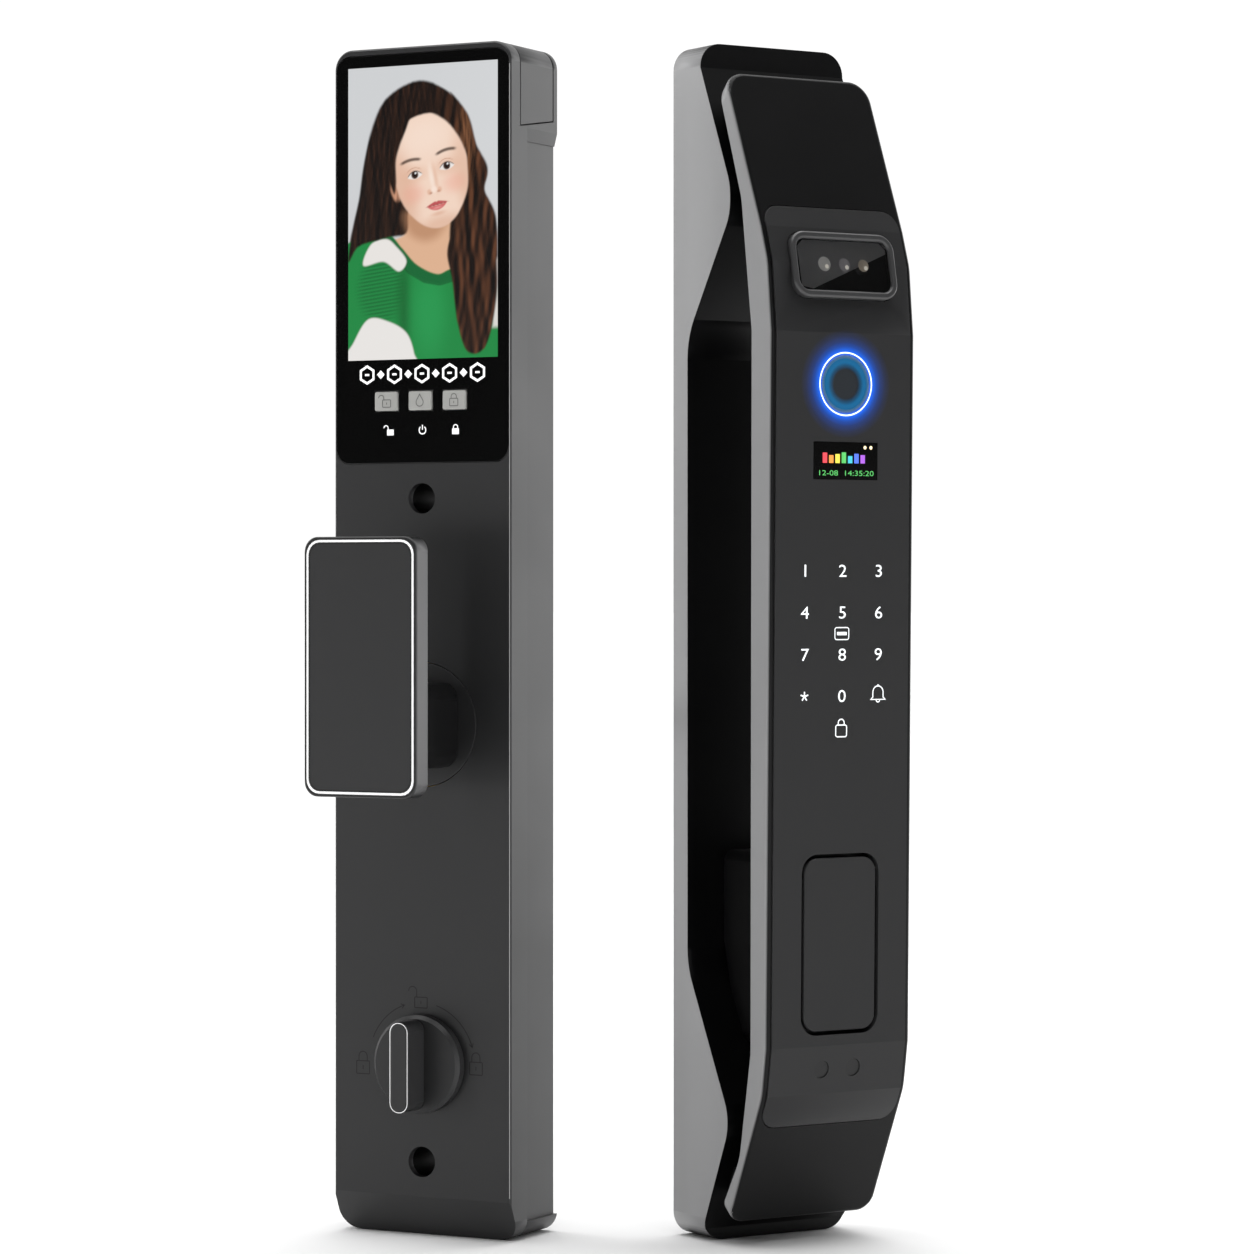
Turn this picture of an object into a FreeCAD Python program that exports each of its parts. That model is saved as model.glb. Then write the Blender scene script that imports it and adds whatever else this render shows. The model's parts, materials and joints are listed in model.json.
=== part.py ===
"""Keypad smart lock: the door-inside unit and the door-outside unit, set out side by side.

Each unit is drawn in its own frame: X to the right as seen from its front, Z up from its foot,
and the door plane at Y = 0. Depths are given as the distance in front of that door plane, so a
depth of 33 is Y = -33. The two units then get their places on the common floor.
"""
import FreeCAD, Part
import math
import os
import re
import Sketcher
from FreeCAD import Placement, Rotation, Vector

# ---------------------------------------------------------------- driving sizes, millimetres, degrees
SIZES = [
    # places of the two units on the floor
    ("inner_yaw", -27.2), ("inner_east", -54.63), ("inner_north", 45.12),
    ("outer_yaw", 32.0), ("outer_east", 40.55), ("outer_north", 37.11),
    # clearances that everything shares
    ("seam_gap", 0.3), ("run_gap", 0.05), ("back_gap", 0.2),
    # inside unit: case
    ("inner_width", 69.0), ("inner_height", 404.4), ("inner_depth", 33.0), ("rim_depth", 11.6),
    ("rear_inset", 1.5), ("case_wall", 2.2), ("face_wall", 3.0), ("case_corner", 6.8),
    ("waist_low", 5.8), ("rim_bevel", 0.6), ("plate_thick", 1.5), ("foot_height", 14.0), ("ledge_height", 371.5),
    ("scoop_height", 4.3), ("cap_low", 376.0), ("cap_slope", 0.148), ("cap_front", 26.5), ("cap_back", 2.6),
    ("cap_wall", 1.8), ("cap_travel", 45.0),
    ("facet_height", 13.5), ("facet_lean", 6.0),
    # inside unit: glass, screen and keys
    ("glass_width", 67.8), ("glass_low", 262.5), ("glass_high", 402.3), ("glass_thick", 1.6),
    ("glass_corner", 5.5), ("screen_width", 60.0), ("screen_low", 297.0), ("screen_high", 399.0),
    ("screen_thick", 3.6), ("soft_key_pitch", 13.3), ("soft_key_east", -0.4),
    ("soft_key_up", 283.8), ("soft_key_wide", 9.0), ("soft_key_tall", 6.5),
    ("soft_key_proud", 0.7), ("soft_key_travel", 0.5), ("soft_key_deep", 4.4),
    ("soft_key_flange", 0.8), ("board_thick", 1.6), ("dome_radius", 2.6), ("dome_high", 0.5),
    # inside unit: fixing bolts
    ("bolt_high", 250.6), ("bolt_low", 25.3), ("bolt_head_radius", 5.2), ("bolt_radius", 3.3),
    ("sleeve_wall", 1.2), ("sleeve_floor", 4.0),
    # inside unit: pull plate that turns the latch
    ("lever_up", 173.8), ("rose_radius", 21.0), ("rose_thick", 1.8), ("stem_width", 28.0),
    ("stem_height", 29.0), ("stem_corner", 6.0), ("pull_width", 43.4), ("pull_low", 150.7),
    ("pull_high", 237.2), ("pull_back", 66.5), ("pull_thick", 7.5), ("pull_corner", 5.0),
    ("trim_inset", 1.0), ("trim_width", 0.6), ("trim_deep", 0.6), ("hub_radius", 15.0),
    ("hub_back", 8.0), ("bush_wall", 3.0), ("bush_length", 8.0), ("spindle_side", 8.0),
    ("spindle_tail", 38.0), ("spring_wire", 1.0), ("circlip_wide", 2.0), ("circlip_thick", 1.2),
    # inside unit: thumb turn
    ("turn_up", 58.7), ("turn_radius", 16.75), ("turn_thick", 4.2), ("turn_bevel", 1.2),
    ("grip_width", 7.0), ("grip_length", 30.5), ("grip_stand", 15.6), ("shaft_radius", 6.0),
    ("shaft_back", 6.0), ("blade_width", 8.0), ("blade_thick", 2.6), ("blade_tail", 30.0),
    # outside unit: base against the door
    ("outer_width", 58.5), ("outer_height", 404.4), ("outer_corner", 8.0), ("base_wall", 2.2),
    ("base_top_deep", 17.0), ("base_foot_deep", 18.5), ("base_floor_deep", 9.0),
    ("high_bulge_deep", 35.2), ("high_bulge_up", 345.0), ("high_bulge_flat", 10.0),
    ("high_slope_end", 396.0), ("low_bulge_deep", 33.6), ("low_bulge_up", 38.0),
    ("low_bulge_flat", 7.0), ("low_slope_end", 4.0), ("grip_low", 92.0), ("grip_high", 305.0),
    ("bulge_radius", 15.0), ("hollow_radius", 24.0),
    # outside unit: handle
    ("rear_low_deep", 47.5), ("rear_low_up", 65.5), ("rear_high_deep", 48.2),
    ("rear_high_up", 305.6), ("rear_high_bend_deep", 42.0), ("rear_high_bend_up", 350.0),
    ("rear_top_deep", 27.5), ("rear_top_up", 390.0), ("rear_low_bend_deep", 40.9),
    ("rear_low_bend_up", 30.0), ("rear_foot_deep", 29.3), ("rear_foot_up", 10.8),
    ("face_low_deep", 56.4), ("face_low_up", 67.9), ("face_high_deep", 59.5),
    ("face_high_up", 305.0), ("bend_high_deep", 57.3), ("bend_high_up", 328.2),
    ("slant_high_deep", 53.4), ("slant_high_up", 340.0), ("slant_low_deep", 53.9),
    ("slant_low_up", 51.8), ("tip_top_deep", 31.2), ("tip_top_up", 394.0),
    ("tip_foot_deep", 33.6), ("tip_foot_up", 7.2), ("handle_wall", 2.4), ("bend_round", 20.0),
    ("handle_corner", 7.5), ("handle_round", 1.5),
    # outside unit: front cover and what it carries
    ("cover_width", 54.0), ("cover_low", 41.0), ("cover_high", 347.0), ("cover_thick", 2.4),
    ("cover_proud", 0.5), ("cover_corner", 6.0), ("window_up", 327.5), ("window_deep", 57.6),
    ("window_lean", 11.0), ("window_width", 42.0), ("window_height", 22.5),
    ("window_east", 0.8),
    ("window_corner", 6.0), ("window_proud", 1.1), ("window_rim", 2.5), ("lens_pitch", 8.0),
    ("lens_east", 1.1), ("lens_radius", 2.6), ("finger_up", 288.0), ("finger_east", 0.5), ("finger_radius", 10.9),
    ("finger_ring", 2.4), ("finger_deep", 2.0), ("display_up", 262.5), ("display_east", 0.85), ("display_width", 25.8),
    ("display_height", 12.4), ("display_deep", 1.4), ("board_width", 44.0),
    ("board_low", 168.0), ("board_high", 245.0), ("board_behind", 1.0), ("coil_band", 3.0),
    # outside unit: emergency key under its flap
    ("flap_width", 28.6), ("flap_height", 57.6), ("flap_up", 101.6), ("flap_corner", 5.0),
    ("flap_gap", 1.3), ("flap_thick", 2.0), ("knuckle_radius", 1.2), ("pin_radius", 0.6),
    ("knuckle_length", 18.0), ("knuckle_drop", 4.0), ("knuckle_bite", 0.5), ("lug_length", 2.0), ("boss_width", 29.0), ("boss_low", 66.0), ("boss_high", 131.0),
    ("boss_front", 47.2),
    ("cylinder_up", 96.0), ("cylinder_radius", 10.0), ("plug_radius", 6.5), ("keyway_wide", 2.2),
    ("keyway_tall", 9.0), ("keyway_deep", 24.0), ("plug_front", 51.0), ("plug_back", 4.0),
    ("contact_radius", 2.9), ("contact_east", 6.3), ("contact_up", 60.0), ("contact_deep", 1.2),
    # outside unit: fixing, seal and tamper switch
    ("post_radius", 6.0), ("post_tail", 10.0), ("thread_radius", 2.5), ("thread_deep", 14.0),
    ("seal_wide", 1.2), ("seal_deep", 1.0), ("seal_inset", 0.5), ("tamper_up", 200.0), ("tamper_east", 18.0),
    ("tamper_radius", 2.0), ("tamper_proud", 2.8), ("tamper_travel", 2.4),
    ("neck_width", 46.0), ("neck_high_low", 359.0), ("neck_high_top", 380.0),
    ("neck_low_low", 18.0), ("neck_low_top", 25.5), ("grommet_radius", 8.0),
    ("grommet_bore", 4.5), ("grommet_up", 230.0), ("screw_radius", 1.5), ("screw_head", 2.8),
]

doc = FreeCAD.newDocument("keypad_smart_lock")
sheet = doc.addObject("Spreadsheet::Sheet", "Sizes")
for row, (alias, number) in enumerate(SIZES, 1):
    sheet.set(f"A{row}", alias.replace("_", " "))
    sheet.set(f"B{row}", str(number))
    sheet.setAlias(f"B{row}", alias)
doc.recompute()


def named(text):
    """Turn bare size names in an expression into references to the sheet."""
    return re.sub(r"\b[a-z]+(?:_[a-z]+)+\b", lambda word: f"Sizes.{word.group()}", text)


def size(text):
    """The number that an expression in size names stands for."""
    result = sheet.evalExpression(named(text))
    return float(getattr(result, "Value", result))


# ---------------------------------------------------------------- outlines for sketches
def bind(sketch, expression, *constraint):
    index = sketch.addConstraint(Sketcher.Constraint(*constraint, size(expression)))
    sketch.setExpression(f"Constraints[{index}]", named(expression))


def outline(*points):
    """A closed outline of straight runs through points given as (across, up) expressions."""
    def draw(sketch):
        spots = [Vector(size(across), size(up), 0) for across, up in points]
        first, count = sketch.GeometryCount, len(points)
        sketch.addGeometry([Part.LineSegment(spots[i], spots[(i + 1) % count])
                            for i in range(count)], False)
        for i, (across, up) in enumerate(points):
            sketch.addConstraint(Sketcher.Constraint("Coincident", first + i, 2,
                                                     first + (i + 1) % count, 1))
            bind(sketch, across, "DistanceX", -1, 1, first + i, 1)
            bind(sketch, up, "DistanceY", -1, 1, first + i, 1)
    return draw


def block(across, up, width, height):
    """A rectangle about its centre."""
    left, right = f"{across} - ({width}) / 2", f"{across} + ({width}) / 2"
    low, high = f"{up} - ({height}) / 2", f"{up} + ({height}) / 2"
    return outline((left, low), (right, low), (right, high), (left, high))


def span(across, low, high, width):
    """A rectangle from one height to another."""
    left, right = f"{across} - ({width}) / 2", f"{across} + ({width}) / 2"
    return outline((left, low), (right, low), (right, high), (left, high))


def slab(across, low, high, width, corner):
    """A rectangle from one height to another with round corners."""
    def draw(sketch):
        west, east = size(f"{across} - ({width}) / 2"), size(f"{across} + ({width}) / 2")
        foot, head, turn = size(low), size(high), size(corner)
        first = sketch.GeometryCount
        ends = [(west + turn, foot, east - turn, foot), (east, foot + turn, east, head - turn),
                (east - turn, head, west + turn, head), (west, head - turn, west, foot + turn)]
        lines = [Part.LineSegment(Vector(a, b, 0), Vector(c, d, 0)) for a, b, c, d in ends]
        hubs = [(east - turn, foot + turn), (east - turn, head - turn),
                (west + turn, head - turn), (west + turn, foot + turn)]
        arcs = [Part.ArcOfCircle(Part.Circle(Vector(a, b, 0), Vector(0, 0, 1), turn),
                                 math.radians(-90 + 90 * k), math.radians(90 * k))
                for k, (a, b) in enumerate(hubs)]
        sketch.addGeometry(lines + arcs, False)
        for k in range(4):
            line, arc, after = first + k, first + 4 + k, first + (k + 1) % 4
            sketch.addConstraint(Sketcher.Constraint("Tangent", line, 2, arc, 1))
            sketch.addConstraint(Sketcher.Constraint("Tangent", arc, 2, after, 1))
            flat = "Horizontal" if k % 2 == 0 else "Vertical"
            sketch.addConstraint(Sketcher.Constraint(flat, line))
            if k:
                sketch.addConstraint(Sketcher.Constraint("Equal", first + 4, arc))
        bind(sketch, corner, "Radius", first + 4)
        bind(sketch, low, "DistanceY", -1, 1, first, 1)
        bind(sketch, f"{across} + ({width}) / 2", "DistanceX", -1, 1, first + 1, 1)
        bind(sketch, high, "DistanceY", -1, 1, first + 2, 1)
        bind(sketch, f"{across} - ({width}) / 2", "DistanceX", -1, 1, first + 3, 1)
    return draw


def disc(across, up, radius):
    """A circle."""
    def draw(sketch):
        spot = Vector(size(across), size(up), 0)
        index = sketch.addGeometry(Part.Circle(spot, Vector(0, 0, 1), size(radius)), False)
        bind(sketch, across, "DistanceX", -1, 1, index, 3)
        bind(sketch, up, "DistanceY", -1, 1, index, 3)
        bind(sketch, radius, "Radius", index)
    return draw


# ---------------------------------------------------------------- pieces
INNER, OUTER = "inner", "outer"
PIECES = []
FLAT = ("0", "0", "0")          # a front-view sketch plane: height, depth and lean of its origin
FRONT, SIDE, PLAN = "XZ_Plane", "YZ_Plane", "XY_Plane"


class Piece:
    """One physical piece: a PartDesign body whose sketches and features are bound to the sheet."""

    def __init__(self, label, unit):
        self.body = doc.addObject("PartDesign::Body", label)
        self.body.Label = label
        self.unit = unit
        self.steps = 0
        PIECES.append(self)

    def sketch(self, role, offset, outlines, plane=FLAT):
        """Sketch outlines on one of the body's own planes, moved along its normal."""
        self.steps += 1
        sketch = self.body.newObject("Sketcher::SketchObject", f"{self.body.Label}_s{self.steps}")
        ground = next(o for o in self.body.Origin.OriginFeatures if o.Role == role)
        sketch.AttachmentSupport = [(ground, "")]
        sketch.MapMode = "FlatFace"
        up, deep, lean = plane
        if plane is not FLAT:
            sketch.AttachmentOffset = Placement(Vector(), Rotation(Vector(1, 0, 0), 1))
            sketch.setExpression("AttachmentOffset.Rotation.Angle", named(lean))
            sketch.setExpression("AttachmentOffset.Base.y",
                                 named(f"{up} - ({offset}) * sin({lean})"))
            sketch.setExpression("AttachmentOffset.Base.z",
                                 named(f"{deep} + ({offset}) * cos({lean})"))
        else:
            sketch.setExpression("AttachmentOffset.Base.z", named(offset))
        for draw in outlines:
            draw(sketch)
        return sketch

    def feature(self, kind, sketch, length, midplane=False):
        before = self.body.Shape.Volume if self.body.Tip else 0.0
        feature = self.body.newObject(f"PartDesign::{kind}", f"{self.body.Label}_f{self.steps}")
        feature.Profile = sketch
        feature.setExpression("Length", named(length))
        if midplane:
            feature.Midplane = True
        doc.recompute()
        change = self.body.Shape.Volume - before
        if (change > -1e-6) if kind == "Pocket" else (change < 1e-6):
            raise ValueError(f"{self.body.Label}: {kind} {self.steps} changed {change:.4f} mm3")
        return self

    def add(self, back, front, *outlines, plane=FLAT):
        """Front-view outlines made solid from one depth to another."""
        sketch = self.sketch(FRONT, back, outlines, plane)
        return self.feature("Pad", sketch, f"({front}) - ({back})")

    def cut(self, back, front, *outlines, plane=FLAT):
        """Front-view outlines taken away from one depth to another."""
        sketch = self.sketch(FRONT, front, outlines, plane)
        return self.feature("Pocket", sketch, f"({front}) - ({back})")

    def add_side(self, width, *points):
        """A side-view outline of (depth, up) points, made solid to both sides of the middle."""
        flipped = [(f"-({deep})", up) for deep, up in points]
        return self.feature("Pad", self.sketch(SIDE, "0", [outline(*flipped)]), width, True)

    def cut_side(self, width, *points):
        """A side-view outline of (depth, up) points, taken away on both sides of the middle."""
        flipped = [(f"-({deep})", up) for deep, up in points]
        return self.feature("Pocket", self.sketch(SIDE, "0", [outline(*flipped)]), width, True)

    def rod(self, kind, length, deep, up, *radii):
        """Round bars or bores along X, about the middle."""
        circles = [disc(f"-({deep})", up, radius) for radius in radii]
        return self.feature(kind, self.sketch(SIDE, "0", circles), length, True)

    def dress(self, kind, quantity, test):
        """Fillet or chamfer every edge that passes a test."""
        self.steps += 1
        tip = self.body.Tip
        edges = [f"Edge{i}" for i, edge in enumerate(tip.Shape.Edges, 1) if test(edge)]
        if not edges:
            raise ValueError(f"{self.body.Label}: no edge for {kind} {quantity}")
        feature = self.body.newObject(f"PartDesign::{kind}", f"{self.body.Label}_f{self.steps}")
        feature.Base = (tip, edges)
        feature.setExpression("Radius" if kind == "Fillet" else "Size", named(quantity))
        doc.recompute()
        return self

    def soften(self, radius, test):
        return self.dress("Fillet", radius, test)

    def bevel(self, width, test):
        return self.dress("Chamfer", width, test)


def middle(edge):
    box = edge.BoundBox
    return box.Center


def runs_along(axis):
    """An edge test: straight, and parallel to the axis named x, y or z."""
    def test(edge):
        box = edge.BoundBox
        lengths = {"x": box.XLength, "y": box.YLength, "z": box.ZLength}
        others = [lengths[name] for name in lengths if name != axis]
        return lengths[axis] > 1e-3 and max(others) < 1e-4
    return test


def across_at(deep, low, high):
    """An edge test: parallel to X, at about a depth, between two heights."""
    def test(edge):
        spot = middle(edge)
        return (runs_along("x")(edge) and abs(spot.y + size(deep)) < 0.2
                and size(low) - 0.1 <= spot.z <= size(high) + 0.1)
    return test


def front_rim(depth):
    """An edge test: wholly on the flat face at a depth."""
    def test(edge):
        box = edge.BoundBox
        return abs(box.YMin + size(depth)) < 1e-3 and abs(box.YMax + size(depth)) < 1e-3
    return test


def ahead_of(width, *points):
    """An edge test: on a side face, in front of a line of (depth, up) points from foot to top."""
    spots = [(size(up), size(deep)) for deep, up in points]

    def test(edge):
        box = edge.BoundBox
        if abs(abs(box.Center.x) - size(width) / 2) > 1e-3 or box.XLength > 1e-3 or box.ZLength < 1:
            return False
        for (low, near), (high, far) in zip(spots, spots[1:]):
            if low <= box.Center.z <= high:
                run = (far - near) / (high - low)
                return -box.Center.y > near + (box.Center.z - low) * run + 1
        return False
    return test


# ---------------------------------------------------------------- inside unit: case
RIM_BACK = "inner_depth - rim_depth"
REAR_WIDTH = "inner_width - 2 * rear_inset"
GLASS_BACK = "inner_depth - glass_thick"
SCREEN_BACK = "inner_depth - glass_thick - screen_thick - back_gap"
FACE_BACK = "inner_depth - face_wall"
ROSE_SEAT = "rose_radius + seam_gap"
TURN_SEAT = "shaft_radius + bush_wall"
SOFT_KEYS = ["unlock_key", "power_key", "lock_key"]


def soft_key_east(place):
    """Across position of a soft key: 0 for the left one, 2 for the right one."""
    return f"soft_key_east + ({place - 1}) * soft_key_pitch"


def cap_seam(deep, lift="0"):
    """Height of the battery cover's sloping lower seam at a depth."""
    return f"cap_low + (cap_front - ({deep})) * cap_slope + {lift}"


def make_front_shell():
    shell = Piece("inner_front_shell", INNER)
    shell.add(RIM_BACK, "inner_depth", slab("0", "0", "inner_height", "inner_width", "case_corner"))
    shell.bevel("rim_bevel", front_rim("inner_depth"))
    shell.cut(RIM_BACK, FACE_BACK, slab("0", "foot_height", "inner_height - case_wall",
                                        "inner_width - 2 * case_wall", "case_wall"))
    # the battery cap takes over from the shell behind the top of the face
    shell.cut_side("inner_width + 1", (RIM_BACK, cap_seam(RIM_BACK)),
                   ("cap_front", "cap_low"), ("cap_front", "inner_height + 1"),
                   (RIM_BACK, "inner_height + 1"))
    shell.cut(GLASS_BACK, "inner_depth",
              slab("0", "glass_low", "glass_high", "glass_width", "glass_corner"))
    shell.cut(FACE_BACK, "inner_depth",
              span("0", "screen_low - back_gap", "screen_high + back_gap",
                   "screen_width + 2 * back_gap"),
              *[block(soft_key_east(i), "soft_key_up",
                      "soft_key_wide + 2 * soft_key_flange + 2 * seam_gap",
                      "soft_key_tall + 2 * soft_key_flange + 2 * seam_gap") for i in range(3)],
              *[disc("0", up, "bolt_head_radius") for up in ("bolt_high", "bolt_low")],
              disc("0", "lever_up", ROSE_SEAT), disc("0", "turn_up", "shaft_radius + seam_gap"))
    # the foot of the face leans back
    drop, lean = "0 - 1", "facet_lean / facet_height"
    shell.cut_side("inner_width + 1",
                   (f"inner_depth - (facet_height - ({drop})) * {lean}", drop),
                   ("inner_depth", "facet_height"), ("inner_depth + 5", "facet_height"),
                   ("inner_depth + 5", drop))
    return shell


def make_rear_case():
    case = Piece("inner_rear_case", INNER)
    case.add("0", RIM_BACK, slab("0", "0", "inner_height", "inner_width", "case_corner"))
    # the waist between foot and ledge is narrower than the front
    edge = "inner_width / 2"
    waist = f"{edge} - rear_inset"
    for side in ("", "0 - "):
        near, far = f"{side}({waist})", f"{side}({edge} + 1)"
        case.cut("0 - 1", RIM_BACK, outline(
            (near, "waist_low"), (far, "waist_low"), (far, "ledge_height + scoop_height"),
            (f"{side}({edge})", "ledge_height + scoop_height"),
            (f"{side}({waist} + 0.4)", "ledge_height"), (near, "ledge_height")))
    case.cut_side("inner_width + 1", ("cap_back", cap_seam("cap_back")),
                  (RIM_BACK, cap_seam(RIM_BACK)), (RIM_BACK, "inner_height + 1"),
                  ("cap_back", "inner_height + 1"))
    case.cut("case_wall", RIM_BACK, slab("0", "foot_height", "cap_low + 8",
                                         f"{REAR_WIDTH} - 2 * case_wall", "case_wall"))
    case.cut("0", "case_wall + 1", slab("0", "foot_height + case_wall", "ledge_height - case_wall",
                                        f"{REAR_WIDTH} - 2 * case_wall", "case_wall"))
    return case


def make_back_plate():
    plate = Piece("inner_back_plate", INNER)
    gap = "seam_gap"
    plate.add("0", "plate_thick",
              slab("0", f"foot_height + case_wall + {gap}", f"ledge_height - case_wall - {gap}",
                   f"{REAR_WIDTH} - 2 * case_wall - 2 * {gap}", "case_wall"))
    plate.cut("0", "plate_thick",
              *[disc("0", up, "bolt_head_radius + sleeve_wall + seam_gap")
                for up in ("bolt_high", "bolt_low")],
              disc("0", "lever_up", "spindle_side"), disc("0", "turn_up", "blade_width"),
              disc("0", "grommet_up", "grommet_radius"))
    screws = screw_spots("plate")
    plate.cut("0", "plate_thick", *[disc(x, up, "screw_radius + seam_gap") for x, up in screws])
    return plate


def screw_spots(unit):
    """Across and up places of the six screws that hold a back plate."""
    heights = ("foot_height + 12", "(foot_height + ledge_height) / 2 + 8", "ledge_height - 12")
    return [(f"{side} * (inner_width / 2 - 9)", up) for up in heights for side in ("1", "-1")]


def make_case_screws():
    screws = Piece("inner_case_screws", INNER)
    spots = screw_spots("plate")
    screws.add("plate_thick + back_gap", "plate_thick + back_gap + 1.6",
               *[disc(x, up, "screw_head") for x, up in spots])
    screws.add("0.2", "plate_thick + back_gap", *[disc(x, up, "screw_radius") for x, up in spots])
    return screws


def make_battery_cap():
    cap = Piece("battery_cover", INNER)
    back, front = "cap_back + seam_gap", "cap_front - seam_gap"
    cap.add(back, front, slab("0", "cap_low - case_corner", "inner_height", "inner_width",
                              "case_corner"))
    cap.cut_side("inner_width + 1", (back, "cap_low - case_corner - 1"),
                 (front, "cap_low - case_corner - 1"), (front, cap_seam(front, "seam_gap")),
                 (back, cap_seam(back, "seam_gap")))
    cap.cut("cap_back + seam_gap + cap_wall", "cap_front - seam_gap - cap_wall",
            slab("0", "cap_low - case_corner", "inner_height - cap_wall",
                 "inner_width - 2 * cap_wall", "case_corner - cap_wall"))
    return cap


def make_battery_pack():
    pack = Piece("battery_pack", INNER)
    back = "cap_back + cap_wall + 2 * seam_gap"
    pack.add(back, "cap_front - cap_wall - 2 * seam_gap",
             slab("0", "cap_low - 66", "inner_height - cap_wall - 3", "inner_width - 14", "2"))
    return pack


def make_glass():
    glass = Piece("inner_glass_panel", INNER)
    gap = "0.15"
    glass.add(GLASS_BACK, "inner_depth",
              slab("0", f"glass_low + {gap}", f"glass_high - {gap}", f"glass_width - 2 * {gap}",
                   f"glass_corner - {gap}"))
    glass.cut(GLASS_BACK, "inner_depth",
              *[block(soft_key_east(i), "soft_key_up", "soft_key_wide + 2 * back_gap",
                      "soft_key_tall + 2 * back_gap") for i in range(3)])
    return glass


def make_display():
    module = Piece("inner_display", INNER)
    module.add(SCREEN_BACK, f"{GLASS_BACK} - 0.1",
               slab("0", "screen_low", "screen_high", "screen_width", "1"))
    return module


def make_soft_keys():
    for i, label in enumerate(SOFT_KEYS):
        key = Piece(label, INNER)
        east, stop = soft_key_east(i), f"{GLASS_BACK} - back_gap"
        back = "inner_depth + soft_key_proud - soft_key_deep"
        key.add(back, f"{stop} - 0.2", block(east, "soft_key_up", "soft_key_wide + 2 * soft_key_flange",
                                             "soft_key_tall + 2 * soft_key_flange"))
        key.add(f"{stop} - 0.2", "inner_depth + soft_key_proud",
                slab(east, "soft_key_up - soft_key_tall / 2", "soft_key_up + soft_key_tall / 2",
                     "soft_key_wide", "0.7"))
        key.bevel("0.3", front_rim("inner_depth + soft_key_proud"))


def make_key_board():
    board = Piece("inner_circuit_board", INNER)
    domes = Piece("soft_key_domes", INNER)
    dome_front = "inner_depth + soft_key_proud - soft_key_deep - soft_key_travel - 0.1"
    board_front = f"{dome_front} - dome_high"
    board.add(f"{board_front} - board_thick", board_front,
              slab("0", "glass_low - 2", "screen_low - 1", "inner_width - 13", "1"))
    domes.add(board_front, dome_front,
              *[disc(soft_key_east(i), "soft_key_up", "dome_radius") for i in range(3)])


def make_bolt_sleeves():
    sleeves = Piece("bolt_sleeves", INNER)
    heights = ("bolt_high", "bolt_low")
    sleeves.add("0", FACE_BACK, *[disc("0", up, "bolt_head_radius + sleeve_wall") for up in heights])
    sleeves.cut("sleeve_floor", FACE_BACK, *[disc("0", up, "bolt_head_radius") for up in heights])
    sleeves.cut("0", "sleeve_floor", *[disc("0", up, "bolt_radius") for up in heights])


# ---------------------------------------------------------------- inside unit: pull plate lever
def make_lever():
    rose = Piece("handle_rose", INNER)
    rose.add("inner_depth - rose_thick", "inner_depth", disc("0", "lever_up", "rose_radius"))
    stem = Piece("handle_stem", INNER)
    stem.add("inner_depth", "pull_back",
             slab("0", "lever_up - stem_height / 2", "lever_up + stem_height / 2", "stem_width",
                  "stem_corner"))
    plate = Piece("pull_plate", INNER)
    front = "pull_back + pull_thick"
    plate.add("pull_back", front, slab("0", "pull_low", "pull_high", "pull_width", "pull_corner"))
    plate.bevel("0.5", front_rim(front))
    outer, inner = "trim_inset", "trim_inset + trim_width"
    ring = [slab("0", f"pull_low + {inset}", f"pull_high - {inset}", f"pull_width - 2 * ({inset})",
                 f"pull_corner - {inset}") for inset in (outer, f"({inner})")]
    plate.cut(f"{front} - trim_deep", front, *ring)
    trim = Piece("pull_plate_trim", INNER)
    trim.add(f"{front} - trim_deep", front, *ring)
    hub = Piece("handle_hub", INNER)
    hub.add("hub_back", "inner_depth - rose_thick", disc("0", "lever_up", "hub_radius"))
    hub.cut("hub_back", "inner_depth - rose_thick - 4",
            block("0", "lever_up", "spindle_side + 2 * run_gap", "spindle_side + 2 * run_gap"))
    groove = "hub_back + 2"
    hub.cut(groove, f"{groove} + circlip_thick + 0.2", disc("0", "lever_up", "hub_radius + 1"),
            disc("0", "lever_up", "hub_radius - 1"))
    clip = Piece("handle_circlip", INNER)
    clip.add(f"{groove} + 0.1", f"{groove} + 0.1 + circlip_thick",
             disc("0", "lever_up", "hub_radius + circlip_wide"),
             disc("0", "lever_up", "hub_radius - 1 + run_gap"))
    bush_front = "inner_depth - rose_thick - seam_gap"
    bush = Piece("handle_bush", INNER)
    bush.add(f"{bush_front} - bush_length", bush_front,
             disc("0", "lever_up", "hub_radius + bush_wall"),
             disc("0", "lever_up", "hub_radius + run_gap"))
    bush.add(f"{bush_front} - bush_length", f"{FACE_BACK} - back_gap",
             disc("0", "lever_up", "rose_radius + bush_wall"),
             disc("0", "lever_up", "hub_radius + bush_wall - 0.5"))
    spindle = Piece("handle_spindle", INNER)
    spindle.add("0 - spindle_tail", "inner_depth - rose_thick - 4.2",
                block("0", "lever_up", "spindle_side", "spindle_side"))
    return hub


def make_lever_spring():
    """A close-wound return spring round the hub, its turns drawn as rounded ridges."""
    spring = Piece("handle_return_spring", INNER)
    start = "hub_back + 2 + circlip_thick + 1.2"
    for turn in range(4):
        spring.add(f"{start} + {turn} * 1.6 * spring_wire",
                   f"{start} + {turn} * 1.6 * spring_wire + spring_wire",
                   disc("0", "lever_up", "hub_radius + 0.6 + 2 * spring_wire"),
                   disc("0", "lever_up", "hub_radius + 0.6"))
        if turn:
            spring.add(f"{start} + {turn} * 1.6 * spring_wire - 0.6 * spring_wire",
                       f"{start} + {turn} * 1.6 * spring_wire",
                       disc("0", "lever_up", "hub_radius + 0.6 + 1.6 * spring_wire"),
                       disc("0", "lever_up", "hub_radius + 0.6 + 0.4 * spring_wire"))
    return spring


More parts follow.
